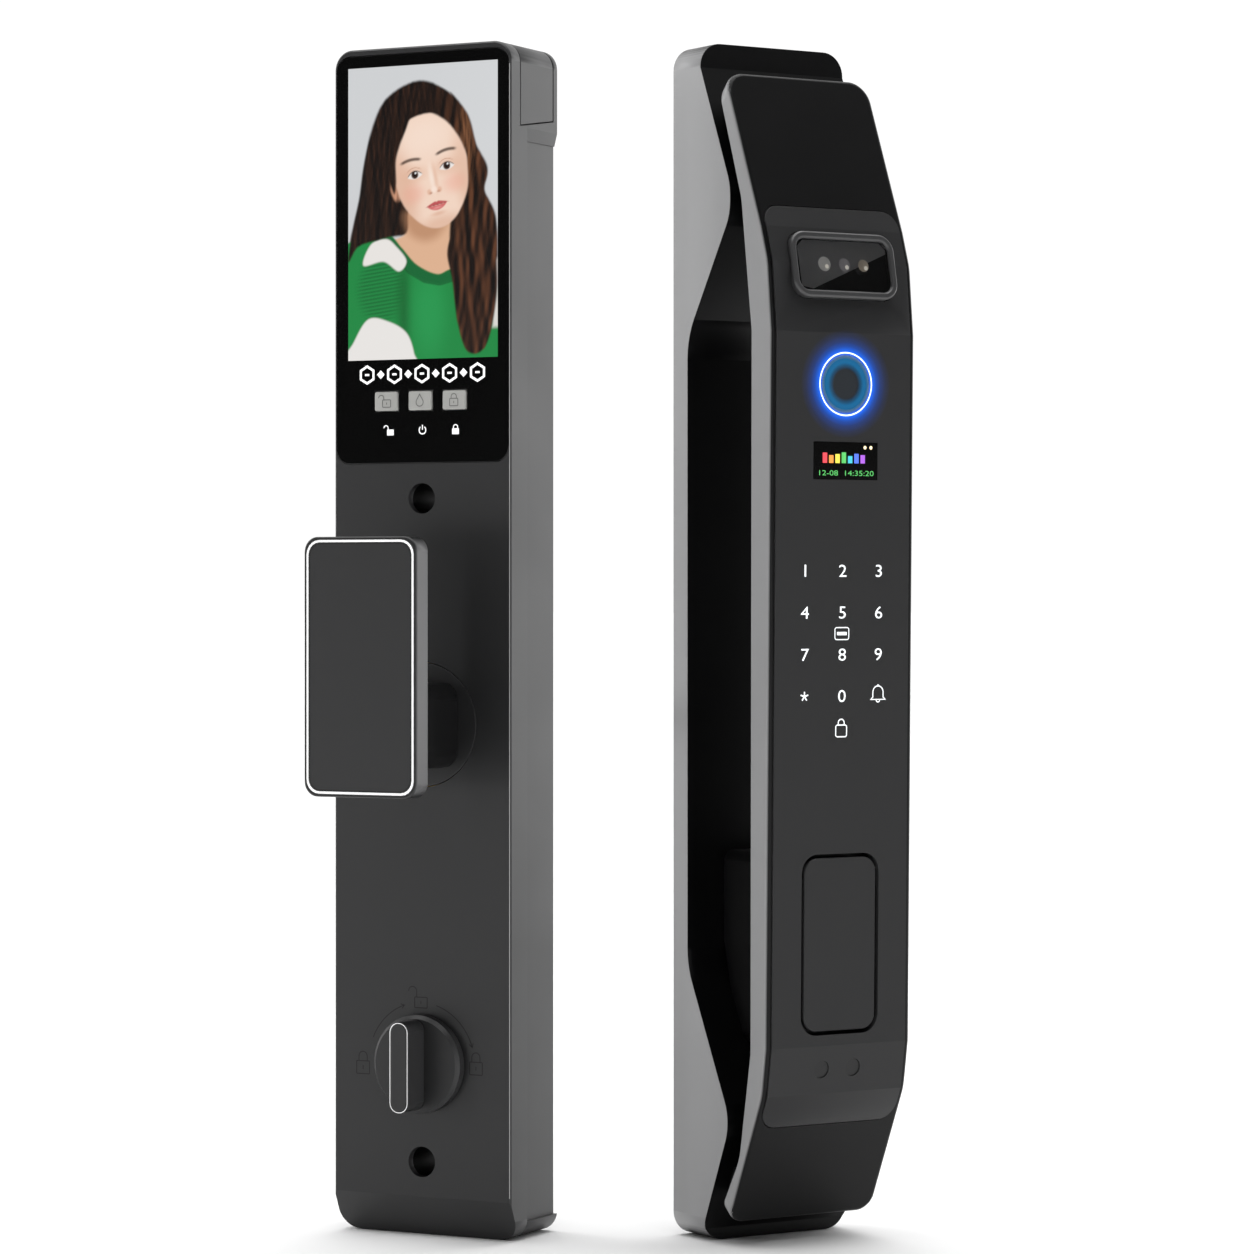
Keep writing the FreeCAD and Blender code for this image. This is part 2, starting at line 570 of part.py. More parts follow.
# ---------------------------------------------------------------- inside unit: thumb turn
def make_thumb_turn():
    front = "inner_depth + seam_gap + turn_thick"
    plate = Piece("thumbturn_disc", INNER)
    plate.add("inner_depth + seam_gap", front, disc("0", "turn_up", "turn_radius"))
    plate.bevel("turn_bevel", front_rim(front))
    grip = Piece("thumbturn_grip", INNER)
    grip.add(front, "inner_depth + grip_stand",
             slab("0", "turn_up - grip_length / 2", "turn_up + grip_length / 2", "grip_width",
                  "grip_width / 2 - 0.05"))
    grip.bevel("0.5", front_rim("inner_depth + grip_stand"))
    shaft = Piece("thumbturn_shaft", INNER)
    shaft.add("shaft_back", "inner_depth + seam_gap", disc("0", "turn_up", "shaft_radius"))
    shaft.cut("shaft_back", "shaft_back + 12",
              block("0", "turn_up", "blade_width + 2 * run_gap", "blade_thick + 2 * run_gap"))
    blade = Piece("thumbturn_tailpiece", INNER)
    blade.add("0 - blade_tail", "shaft_back + 11.8",
              block("0", "turn_up", "blade_width", "blade_thick"))
    bush = Piece("thumbturn_bush", INNER)
    bush.add("inner_depth - face_wall - 9", f"{FACE_BACK}",
             disc("0", "turn_up", TURN_SEAT), disc("0", "turn_up", "shaft_radius + run_gap"))
    clip = Piece("thumbturn_clip", INNER)
    clip.add("inner_depth - face_wall - 9 - back_gap - circlip_thick",
             "inner_depth - face_wall - 9 - back_gap",
             disc("0", "turn_up", "shaft_radius + circlip_wide"),
             disc("0", "turn_up", "shaft_radius + 0.02"))


# ---------------------------------------------------------------- outside unit: base
HIGH_PEAK = "high_bulge_up + high_bulge_flat"
LOW_PEAK = "low_bulge_up + low_bulge_flat"
HIGH_SLOPE = f"(high_bulge_deep - base_top_deep) / (high_slope_end - ({HIGH_PEAK}))"
LOW_SLOPE = "(low_bulge_deep - base_foot_deep) / (low_bulge_up - low_slope_end)"
LEAN = "atan((face_high_deep - face_low_deep) / (face_high_up - face_low_up))"
FACE = ("face_low_up", "face_low_deep + cover_proud", LEAN)
WINDOW = ("window_up", "window_deep + cover_proud", "-window_lean")
TOE = ("contact_up", "slant_low_deep + cover_proud + (contact_up - slant_low_up)"
       " * (face_low_deep - slant_low_deep) / (face_low_up - slant_low_up)",
       "atan((face_low_deep - slant_low_deep) / (face_low_up - slant_low_up))")


HINGE_UP = "flap_up + flap_height / 2 - knuckle_drop"
HINGE_BEHIND = "(flap_thick + knuckle_radius - knuckle_bite)"
HINGE_DEEP = (f"face_low_deep + cover_proud + ({HINGE_UP} - face_low_up) * tan({LEAN})"
              f" - {HINGE_BEHIND}")


def on_face(up):
    """A height measured along the leaning front from where it begins."""
    return f"{up} - face_low_up"


def seal_edge(inset):
    """The door seal's edge, set in from the base's own outline."""
    return slab("0", inset, f"outer_height - ({inset})", f"outer_width - 2 * ({inset})",
                f"outer_corner - ({inset})")


SEAL = [seal_edge("seal_inset"), seal_edge("seal_inset + seal_wide")]


def base_front(inward="0"):
    """The base's side-view front, from foot to top, moved back by a wall."""
    return [(f"base_foot_deep - {inward}", "low_slope_end"),
            (f"low_bulge_deep - {inward}", "low_bulge_up"),
            (f"low_bulge_deep - {inward}", LOW_PEAK),
            (f"base_floor_deep - {inward}", "grip_low"),
            (f"base_floor_deep - {inward}", "grip_high"),
            (f"high_bulge_deep - {inward}", "high_bulge_up"),
            (f"high_bulge_deep - {inward}", HIGH_PEAK),
            (f"base_top_deep - {inward}", "high_slope_end")]


def make_base():
    base = Piece("outer_base", OUTER)
    base.add_side("outer_width", ("0", "0"), ("base_foot_deep", "0"), *base_front(),
                  ("base_top_deep", "outer_height"), ("0", "outer_height"))
    base.soften("outer_corner", lambda edge: runs_along("y")(edge)
                and (middle(edge).z < 1 or middle(edge).z > size("outer_height") - 1))
    for deep, low, high in (("high_bulge_deep", "high_bulge_up", HIGH_PEAK),
                            ("low_bulge_deep", "low_bulge_up", LOW_PEAK)):
        base.soften("bulge_radius", across_at(deep, low, high))
    base.soften("hollow_radius", across_at("base_floor_deep", "grip_low", "grip_high"))
    hollow = base_front("base_wall")[1:-1]
    base.cut_side("outer_width - 2 * base_wall", ("0 - 1", "base_wall + 6"),
                  ("base_foot_deep - 3 * base_wall", "base_wall + 6"), *hollow,
                  ("base_top_deep - base_wall", "outer_height - base_wall - 6"),
                  ("0 - 1", "outer_height - base_wall - 6"))
    base.cut("0", "seal_deep", *SEAL)
    base.cut("0", "high_bulge_deep", disc("0", "cylinder_up", "cylinder_radius + run_gap"))
    return base


BASE_PLATE = ("0", "base_wall + 8", "outer_height - base_wall - 8",
              "outer_width - 2 * base_wall - 2 * seam_gap - 4", "3")


def make_base_plate():
    plate = Piece("outer_back_plate", OUTER)
    plate.add("0", "plate_thick", slab(*BASE_PLATE))
    plate.cut("0", "plate_thick",
              *[disc("0", up, "post_radius + seam_gap") for up in ("bolt_high", "bolt_low")],
              disc("0", "cylinder_up", "plug_radius"),
              disc("tamper_east", "tamper_up", "tamper_radius + run_gap"),
              disc("0", "grommet_up - 20", "grommet_radius"))
    return plate


def make_seal():
    seal = Piece("outer_door_seal", OUTER)
    seal.add("0", "seal_deep", *SEAL)
    return seal


def make_posts():
    posts = Piece("mounting_posts", OUTER)
    heights = ("bolt_high", "bolt_low")
    posts.add("0 - post_tail", "base_floor_deep - base_wall",
              *[disc("0", up, "post_radius") for up in heights])
    posts.cut("0 - post_tail", "thread_deep - post_tail",
              *[disc("0", up, "thread_radius") for up in heights])


def make_tamper():
    plunger = Piece("tamper_plunger", OUTER)
    seat = "plate_thick"
    plunger.add("0 - tamper_proud", f"{seat} + 0.4", disc("tamper_east", "tamper_up", "tamper_radius"))
    plunger.add(f"{seat} + 0.1", f"{seat} + 0.9",
                disc("tamper_east", "tamper_up", "tamper_radius + 0.8"))
    plunger.bevel("0.5", front_rim("0 - tamper_proud"))
    spring = Piece("tamper_spring", OUTER)
    spring.add(f"{seat} + 0.9 + tamper_travel + 0.1", "base_floor_deep - base_wall - 0.1",
               disc("tamper_east", "tamper_up", "tamper_radius + 0.8"),
               disc("tamper_east", "tamper_up", "tamper_radius"))


def make_grommet():
    grommet = Piece("cable_grommet", OUTER)
    grommet.add("0", "plate_thick",
                disc("0", "grommet_up - 20", "grommet_radius - 0.1"),
                disc("0", "grommet_up - 20", "grommet_bore"))


def make_necks():
    """The two dark blocks that carry the handle off the base."""
    def base_line(up):
        return (f"high_bulge_deep - ({up} - ({HIGH_PEAK})) * {HIGH_SLOPE}", up)

    def rear_line(up):
        run = "(rear_high_bend_deep - rear_top_deep) / (rear_top_up - rear_high_bend_up)"
        return (f"rear_high_bend_deep - ({up} - rear_high_bend_up) * {run}", up)

    def base_toe(up):
        return (f"low_bulge_deep - (low_bulge_up - {up}) * {LOW_SLOPE}", up)

    def rear_toe(up):
        run = "(rear_low_bend_deep - rear_foot_deep) / (rear_low_bend_up - rear_foot_up)"
        return (f"rear_low_bend_deep - (rear_low_bend_up - {up}) * {run}", up)

    high = Piece("upper_handle_neck", OUTER)
    high.add_side("neck_width", base_line("neck_high_low"), rear_line("neck_high_low"),
                  rear_line("neck_high_top"), base_line("neck_high_top"))
    low = Piece("lower_handle_neck", OUTER)
    low.add_side("neck_width", base_toe("neck_low_low"), rear_toe("neck_low_low"),
                 rear_toe("neck_low_top"), base_toe("neck_low_top"))


# ---------------------------------------------------------------- outside unit: handle
def face_line(back="0"):
    """The handle's side-view front from its lower bend to its upper bend, moved back."""
    return [(f"slant_low_deep - {back}", "slant_low_up"), (f"face_low_deep - {back}", "face_low_up"),
            (f"face_high_deep - {back}", "face_high_up"),
            (f"bend_high_deep - {back}", "bend_high_up"),
            (f"slant_high_deep - {back}", "slant_high_up")]


def slant_deep(up, back="0"):
    """Depth of the upper or lower slanted face at a height within it."""
    if up.startswith("cover_high"):
        run = "(slant_high_deep - tip_top_deep) / (tip_top_up - slant_high_up)"
        return f"slant_high_deep - {back} - ({up} - slant_high_up) * {run}"
    run = "(slant_low_deep - tip_foot_deep) / (slant_low_up - tip_foot_up)"
    return f"slant_low_deep - {back} - (slant_low_up - {up}) * {run}"


def rear_line_points(forward="0"):
    return [(f"rear_high_bend_deep + {forward}", "rear_high_bend_up"),
            (f"rear_high_deep + {forward}", "rear_high_up"),
            (f"rear_low_deep + {forward}", "rear_low_up"),
            (f"rear_low_bend_deep + {forward}", "rear_low_bend_up")]


def make_handle():
    handle = Piece("outer_handle", OUTER)
    handle.add_side("outer_width", ("tip_foot_deep", "tip_foot_up"), *face_line(),
                    ("tip_top_deep", "tip_top_up"), ("rear_top_deep", "rear_top_up"),
                    *rear_line_points(), ("rear_foot_deep", "rear_foot_up"))
    half = size("outer_width") / 2
    for corner, low, high in (("handle_corner", "tip_top_up - 8", "tip_top_up"),
                              ("outer_corner - 2", "tip_foot_up", "tip_foot_up + 5")):
        handle.soften(corner, lambda edge: not runs_along("x")(edge)
                      and abs(abs(middle(edge).x) - half) < 1e-3
                      and size(low) < middle(edge).z < size(high))
    handle.soften("bend_round", lambda edge: runs_along("x")(edge)
                  and (across_at("bend_high_deep", "bend_high_up", "bend_high_up")(edge)
                       or across_at("slant_low_deep", "slant_low_up", "slant_low_up")(edge)
                       or across_at("rear_high_bend_deep", "rear_high_bend_up",
                                    "rear_high_bend_up")(edge)
                       or across_at("rear_low_bend_deep", "rear_low_bend_up",
                                    "rear_low_bend_up")(edge)))
    handle.soften("handle_round", ahead_of(
        "outer_width", ("rear_foot_deep", "rear_foot_up"), *rear_line_points()[::-1],
        ("rear_top_deep", "rear_top_up")))
    seat = "(cover_thick + seam_gap)"
    # the front cover's seat: a cross of two cuts and a round one at each corner
    for width, inset in (("cover_width - 2 * cover_corner", "0 - seam_gap"),
                         ("cover_width + 2 * seam_gap", "cover_corner")):
        low, high = f"cover_low + {inset}", f"cover_high - ({inset})"
        handle.cut_side(width, (slant_deep(low, seat), low), *face_line(seat),
                        (slant_deep(high, seat), high), ("face_high_deep + 8", high),
                        ("face_high_deep + 8", low))
    for end, hub in (("cover_low", "cover_low + cover_corner"),
                     ("cover_high", "cover_high - cover_corner")):
        handle.cut(slant_deep(end, seat), "face_high_deep + 8",
                   *[disc(f"{side} * (cover_width / 2 - cover_corner)", hub,
                          "cover_corner + seam_gap") for side in ("1", "-1")])
    # room for the keypad's board, open to the front, behind the cover only
    low, high = "cover_low + 2", "cover_high - 2"
    low_run = "(rear_low_deep - rear_low_bend_deep) / (rear_low_up - rear_low_bend_up)"
    high_run = "(rear_high_deep - rear_high_bend_deep) / (rear_high_bend_up - rear_high_up)"
    handle.cut_side(
        "cover_width - 2 * handle_wall",
        (f"rear_low_bend_deep + handle_wall + ({low} - rear_low_bend_up) * {low_run}", low),
        ("rear_low_deep + handle_wall", "rear_low_up"),
        ("rear_high_deep + handle_wall", "rear_high_up"),
        (f"rear_high_deep + handle_wall - ({high} - rear_high_up) * {high_run}", high),
        ("face_high_deep", high), ("face_high_deep", low))
    handle.cut("rear_low_deep - 2", "face_high_deep",
               disc("0", "cylinder_up", "cylinder_radius + seam_gap"))
    return handle


def make_cover():
    cover = Piece("outer_front_cover", OUTER)
    proud = "(0 - cover_proud)"
    cover.add_side("cover_width", (slant_deep("cover_low", proud), "cover_low"), *face_line(proud),
                   (slant_deep("cover_high", proud), "cover_high"),
                   (slant_deep("cover_high", "cover_thick"), "cover_high"),
                   *face_line("cover_thick")[::-1],
                   (slant_deep("cover_low", "cover_thick"), "cover_low"))
    half = size("cover_width") / 2
    cover.soften("cover_corner", lambda edge: abs(abs(middle(edge).x) - half) < 1e-3
                 and edge.BoundBox.ZLength < 0.1)
    cover.cut("0 - 12", "6", slab("window_east", "0 - window_height / 2 - back_gap",
                                  "window_height / 2 + back_gap", "window_width + 2 * back_gap",
                                  "window_corner"), plane=WINDOW)
    cover.cut("0 - 6", "1", disc("finger_east", on_face("finger_up"), "finger_radius + 0.1"), plane=FACE)
    cover.cut("0 - display_deep", "1", block("display_east", on_face("display_up"), "display_width + 0.2",
                                             "display_height + 0.2"), plane=FACE)
    cover.cut("0 - 8", "1", slab("0", on_face("flap_up - flap_height / 2 - flap_gap"),
                                 on_face("flap_up + flap_height / 2 + flap_gap"),
                                 "flap_width + 2 * flap_gap", "flap_corner + flap_gap"), plane=FACE)
    lug = "(flap_width / 2 + flap_gap + lug_length / 2 + seam_gap)"
    cover.add(f"0 - {HINGE_BEHIND} - knuckle_radius", "0 - cover_thick",
              *[block(f"{side} * {lug}", on_face(HINGE_UP), "lug_length", "4 * knuckle_radius")
                for side in ("1", "-1")], plane=FACE)
    cover.rod("Pocket", "flap_width + 2 * flap_gap + 2 * lug_length", HINGE_DEEP, HINGE_UP,
              "pin_radius")
    cover.cut("0 - contact_deep - 0.8", "1",
              *[disc(f"{side} * contact_east", "0", "contact_radius + 0.1") for side in ("1", "-1")],
              plane=TOE)
    return cover


def make_window():
    bezel = Piece("camera_bezel", OUTER)
    low, high = "0 - window_height / 2", "window_height / 2"
    bezel.add("0 - 3.4", "window_proud", slab("window_east", low, high, "window_width", "window_corner"),
              plane=WINDOW)
    inset = "window_rim"
    bezel.cut("0 - 2.2", "window_proud", slab("window_east", f"{low} + {inset}", f"{high} - {inset}",
                                              "window_width - 2 * window_rim", "3.4"), plane=WINDOW)
    for i in range(3):
        bezel.cut("0 - 3.4", "0 - 2.2", disc(lens_east(i), "0", "lens_radius + 0.1"), plane=WINDOW)
    bezel.bevel("0.6", lambda edge: edge.Length > 5 and rim_of(edge, WINDOW, "window_proud"))
    glass = Piece("camera_glass", OUTER)
    glass.add("0 - 0.9", "0.2", slab("window_east", f"{low} + {inset} + 0.1", f"{high} - {inset} - 0.1",
                                     "window_width - 2 * window_rim - 0.2", "3.3"), plane=WINDOW)
    for i, label in enumerate(("infrared_lamp", "colour_camera", "depth_camera")):
        lens = Piece(label, OUTER)
        lens.add("0 - 3.4", "0 - 1.2", disc(lens_east(i), "0", "lens_radius"), plane=WINDOW)
        lens.bevel("0.4", lambda edge: rim_of(edge, WINDOW, "0 - 1.2"))


def lens_east(place):
    return f"lens_east + ({place - 1}) * lens_pitch"


def rim_of(edge, plane, depth):
    """Whether an edge lies on a leaning plane at a distance in front of it."""
    up, deep, lean = (size(word) for word in plane)
    tilt = math.radians(lean)
    normal = Vector(0, -math.cos(tilt), -math.sin(tilt))
    origin = Vector(0, -deep, up)
    return all(abs((vertex.Point - origin).dot(normal) - size(depth)) < 1e-3
               for vertex in edge.Vertexes)


def make_reader():
    ring = Piece("fingerprint_ring", OUTER)
    up = on_face("finger_up")
    ring.add("0 - finger_deep", "0.15", disc("finger_east", up, "finger_radius"),
             disc("finger_east", up, "finger_radius - finger_ring"), plane=FACE)
    sensor = Piece("fingerprint_sensor", OUTER)
    sensor.add("0 - finger_deep", "0 - 0.2", disc("finger_east", up, "finger_radius - finger_ring - 0.05"),
               plane=FACE)
    display = Piece("outer_display", OUTER)
    display.add("0 - display_deep", "0.05", block("display_east", on_face("display_up"), "display_width",
                                                  "display_height"), plane=FACE)
    front = "0 - cover_thick - cover_proud - board_behind"
    board = Piece("keypad_board", OUTER)
    board.add(f"{front} - board_thick", front, slab("0", on_face("board_low"), on_face("board_high"),
                                                    "board_width", "1"), plane=FACE)
    coil = Piece("card_antenna", OUTER)
    coil.add(front, f"{front} + 0.4",
             slab("0", on_face("board_low + 4"), on_face("board_high - 4"), "board_width - 8", "4"),
             slab("0", on_face("board_low + 4 + coil_band"), on_face("board_high - 4 - coil_band"),
                  "board_width - 8 - 2 * coil_band", "1.5"), plane=FACE)


def make_contacts():
    contacts = Piece("power_contacts", OUTER)
    contacts.add("0 - contact_deep - 0.8", "0 - 0.4",
                 *[disc(f"{side} * contact_east", "0", "contact_radius") for side in ("1", "-1")],
                 plane=TOE)


# ---------------------------------------------------------------- outside unit: emergency key
def make_key_way():
    boss = Piece("cylinder_boss", OUTER)
    slope = f"(low_bulge_deep - base_floor_deep) / (grip_low - ({LOW_PEAK}))"
    floor, bend = "base_floor_deep + run_gap", "grip_low - hollow_radius / 3"
    boss.add_side("boss_width", (f"{floor} + (grip_low - boss_low) * {slope}", "boss_low"),
                  ("boss_front", "boss_low"), ("boss_front", "boss_high"), (floor, "boss_high"),
                  (floor, "grip_low + hollow_radius / 3"),
                  (f"{floor} + (grip_low - ({bend})) * {slope}", bend))
    boss.soften("4", lambda edge: runs_along("y")(edge))
    boss.cut("base_floor_deep", "rear_high_deep", disc("0", "cylinder_up", "cylinder_radius"))
    barrel = Piece("lock_cylinder", OUTER)
    barrel.add("base_floor_deep + 0.05", "plug_front", disc("0", "cylinder_up", "cylinder_radius"),
               disc("0", "cylinder_up", "plug_radius + run_gap"))
    plug = Piece("key_plug", OUTER)
    plug.add("plug_back", "plug_front + 0.3", disc("0", "cylinder_up", "plug_radius"))
    plug.cut("plug_front + 0.3 - keyway_deep", "plug_front + 0.3",
             block("0", "cylinder_up", "keyway_wide", "keyway_tall"))
    plug.bevel("0.4", lambda edge: front_rim("plug_front + 0.3")(edge)
               and edge.BoundBox.ZLength > size("plug_radius"))
    blade = Piece("plug_tailpiece", OUTER)
    blade.add("0 - blade_tail", "plug_back",
              block("0", "cylinder_up", "blade_width", "blade_thick"))
    clip = Piece("plug_clip", OUTER)
    clip.add("base_floor_deep - circlip_thick - 0.3", "base_floor_deep - 0.3",
             disc("0", "cylinder_up", "plug_radius + circlip_wide"),
             disc("0", "cylinder_up", "plug_radius + 0.02"))


def make_flap():
    """The emergency key's flap and the pin, just behind its upper edge, that it swings on."""
    flap = Piece("key_cover", OUTER)
    flap.add("0 - flap_thick", "0", slab("0", on_face("flap_up - flap_height / 2"),
                                         on_face("flap_up + flap_height / 2"), "flap_width",
                                         "flap_corner"), plane=FACE)
    flap.bevel("0.3", lambda edge: rim_of(edge, FACE, "0"))
    flap.rod("Pad", "knuckle_length", HINGE_DEEP, HINGE_UP, "knuckle_radius")
    flap.rod("Pocket", "knuckle_length + 1", HINGE_DEEP, HINGE_UP, "pin_radius + run_gap")
    pin = Piece("key_cover_pin", OUTER)
    pin.rod("Pad", "flap_width + 2 * flap_gap + 2 * lug_length", HINGE_DEEP, HINGE_UP, "pin_radius")


# ---------------------------------------------------------------- build
def unit_place(unit):
    east, north = size(f"{unit}_east"), size(f"{unit}_north")
    return Placement(Vector(east, north, 0), Rotation(Vector(0, 0, 1), size(f"{unit}_yaw")))


def build():
    for make in (make_front_shell, make_rear_case, make_back_plate, make_case_screws,
                 make_battery_cap, make_battery_pack, make_glass, make_display,
                 make_soft_keys, make_key_board, make_bolt_sleeves, make_lever, make_lever_spring,
                 make_thumb_turn, make_base, make_base_plate, make_seal, make_posts, make_tamper,
                 make_grommet, make_necks, make_handle, make_cover, make_window, make_reader,
                 make_contacts, make_key_way, make_flap):
        make()
    for piece in PIECES:
        piece.body.Placement = unit_place(piece.unit)
    doc.recompute()
    whole = FreeCAD.BoundBox()
    for piece in PIECES:
        whole.add(piece.body.Shape.optimalBoundingBox(False))
    shift = Vector(-whole.Center.x, -whole.Center.y, -whole.ZMin)
    for piece in PIECES:
        place = piece.body.Placement
        piece.body.Placement = Placement(place.Base + shift, place.Rotation)
    doc.recompute()
    return shift


def write():
    for thing in doc.Objects:
        if {"Invalid", "Error"} & set(thing.State):
            raise ValueError(f"{thing.Label} failed: {thing.State}")
    os.makedirs("parts", exist_ok=True)
    for piece in PIECES:
        shape = piece.body.Shape
        if shape.isNull() or not shape.isValid() or not shape.Solids:
            raise ValueError(f"{piece.body.Label} has no valid solid")
        shape.exportStep(f"parts/{piece.body.Label}.step")
        print(f"{piece.body.Label:24s} solids {len(shape.Solids)} volume {shape.Volume:10.1f}")


SHIFT = build()
write()
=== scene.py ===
# %% [markdown]
# # A keypad smart lock, set out as a pair
# The lock is two long cases that clamp a door between them. The inside case carries a screen, a
# pull plate and a thumb turn; the outside case is a grip handle with a keypad. The solid parts
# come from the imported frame, so this lesson is about finishes, graphics without lettering and
# small trim. Everything is placed from two unit frames that are read from the frame's own
# mounting points.

# %% Load the frame
import math
import json
import bpy
import numpy as np
from mathutils import Matrix, Vector


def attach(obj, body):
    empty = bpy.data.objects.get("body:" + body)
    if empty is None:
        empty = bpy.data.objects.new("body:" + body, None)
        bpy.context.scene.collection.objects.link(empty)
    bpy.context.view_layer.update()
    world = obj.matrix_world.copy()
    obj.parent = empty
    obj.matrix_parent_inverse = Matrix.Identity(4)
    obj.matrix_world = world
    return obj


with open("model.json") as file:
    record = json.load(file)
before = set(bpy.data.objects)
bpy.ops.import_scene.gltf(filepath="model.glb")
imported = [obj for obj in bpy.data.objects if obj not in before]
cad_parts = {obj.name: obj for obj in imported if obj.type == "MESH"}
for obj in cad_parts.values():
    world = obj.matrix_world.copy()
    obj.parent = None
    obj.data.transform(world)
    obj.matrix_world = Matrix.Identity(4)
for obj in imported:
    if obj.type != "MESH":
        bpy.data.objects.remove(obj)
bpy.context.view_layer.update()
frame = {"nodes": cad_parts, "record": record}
nodes = frame["nodes"]

# %% [markdown]
# ## Two unit frames
# Each case stands turned on the floor, so pieces are easier to think of in the case's own frame:
# x to its right, depth out of its front, and up. A bolt hole gives a point on the case's middle
# line and the direction towards the door, which is all that a matrix needs. Sizes are written in
# millimetres, and the unit frames scale them to metres.

# %% Unit frames from the mounts
MM = 0.001
mounts = {mount["name"]: mount for mount in frame["record"]["mounts"]}


def unit_frame(mount_name, behind):
    """Matrix from unit millimetres (x, depth, up) to the row frame, from a bolt mount's axis."""
    mount = mounts[mount_name]
    door = Vector(mount["axis"])
    right = door.cross(Vector((0, 0, 1)))
    origin = Vector(mount["pos_m"]) - door * behind * MM
    origin.z = 0
    turn = Matrix((right, -door, Vector((0, 0, 1)))).transposed().to_4x4()
    return Matrix.Translation(origin) @ turn @ Matrix.Scale(MM, 4)


INNER = unit_frame("inner_bolt_top", behind=-2.0)
OUTER = unit_frame("outer_post_top", behind=3.0)
print("inner origin", [round(v, 4) for v in INNER.translation],
      "outer origin", [round(v, 4) for v in OUTER.translation])

# %% [markdown]
# ## Colours and shader nodes
# Paint swatches are quoted as sRGB hex, while shaders work in linear light, so one function
# converts. One more function adds a node with its settings and links, which keeps each finish
# readable as a recipe.

# %% Colour and node helpers
def rgb(code):
    """sRGB hex to a linear RGBA tuple."""
    parts = [int(code[i:i + 2], 16) / 255 for i in (1, 3, 5)]
    return (*[p / 12.92 if p <= 0.04045 else ((p + 0.055) / 1.055) ** 2.4 for p in parts], 1.0)


def node(tree, kind, settings=None, **links):
    """Add a node: settings are its attributes; links are sockets by name, a value or an output."""
    made = tree.nodes.new(kind)
    for name, value in (settings or {}).items():
        setattr(made, name, value)
    for name, value in links.items():
        socket = made.inputs[int(name[1:])] if name[0] == "i" and name[1:].isdigit() \
            else made.inputs[name.replace("_", " ")]
        if isinstance(value, bpy.types.NodeSocket):
            tree.links.new(value, socket)
        else:
            socket.default_value = value
    return made


def material(name, colour="#808080", rough=0.5, metal=0.0, ior=1.5, **sockets):
    """A new material with a Principled shader; returns it with its tree and shader."""
    made = bpy.data.materials.new(name)
    made.use_nodes = True
    tree = made.node_tree
    shader = tree.nodes["Principled BSDF"]
    shader.inputs["Base Color"].default_value = rgb(colour)
    shader.inputs["Roughness"].default_value = rough
    shader.inputs["Metallic"].default_value = metal
    if not metal:
        shader.inputs["IOR"].default_value = ior
    for socket, value in sockets.items():
        shader.inputs[socket.replace("_", " ")].default_value = value
    return made, tree, shader


def grain(tree, shader, period_mm, height_mm):
    """A fine surface texture: noise whose features are period_mm apart and height_mm deep."""
    place = node(tree, "ShaderNodeTexCoord")
    noise = node(tree, "ShaderNodeTexNoise", Vector=place.outputs["Object"],
                 Scale=1.0 / (period_mm * MM), Detail=2.0)
    bump = node(tree, "ShaderNodeBump", Strength=0.6, Distance=height_mm * MM,
                Height=noise.outputs["Fac"])
    tree.links.new(bump.outputs["Normal"], shader.inputs["Normal"])


def rough_drift(tree, shader, low, high, size_mm):
    """Slow change of roughness, as handled paint has, over patches size_mm across."""
    place = node(tree, "ShaderNodeTexCoord")
    noise = node(tree, "ShaderNodeTexNoise", Vector=place.outputs["Object"],
                 Scale=1.0 / (size_mm * MM), Detail=3.0)
    spread = node(tree, "ShaderNodeMapRange", Value=noise.outputs["Fac"], To_Min=low, To_Max=high)
    tree.links.new(spread.outputs["Result"], shader.inputs["Roughness"])

# %% [markdown]
# ## Finishes of the cases
# The cases are die-cast aluminium under a satin powder paint. Powder paint is a thin skin of
# melted grains: it has a faint orange-peel texture a few tenths of a millimetre across, and it
# reflects softly. The faces that look sideways are given a lighter colour than the fronts, as
# painted reflected light for the bright room that they mirror, so one finish holds both colours
# and picks between them by which way the surface itself looks.

# %% Satin powder paint on the cases
PEEL_MM, PEEL_HEIGHT_MM, PATCH_MM, DRIFT = 0.35, 0.006, 40, 0.05


def satin_paint_with_painted_side_light(name, front, side, unit, rough, sheen=0.5):
    """Powder paint with one colour on faces towards the unit's front and another on its sides; the
    side colour is painted reflected light.
    """
    made, tree, shader = material(name, front, rough)
    facing = node(tree, "ShaderNodeNewGeometry")
    across = unit.to_3x3().normalized().col[0]
    sideways = node(tree, "ShaderNodeVectorMath", {"operation": "DOT_PRODUCT"},
                    i0=facing.outputs["True Normal"], i1=tuple(across))
    either = node(tree, "ShaderNodeMath", {"operation": "ABSOLUTE"}, i0=sideways.outputs["Value"])
    ramp = node(tree, "ShaderNodeMapRange", Value=either.outputs["Value"], From_Min=0.55,
                From_Max=0.9)
    mix = node(tree, "ShaderNodeMix", {"data_type": "RGBA"}, i0=ramp.outputs["Result"],
               i6=rgb(front), i7=rgb(side))
    tree.links.new(mix.outputs[2], shader.inputs["Base Color"])
    grain(tree, shader, PEEL_MM, PEEL_HEIGHT_MM)
    rough_drift(tree, shader, rough - DRIFT, rough + DRIFT, PATCH_MM)
    shader.inputs["Specular IOR Level"].default_value = sheen
    return made
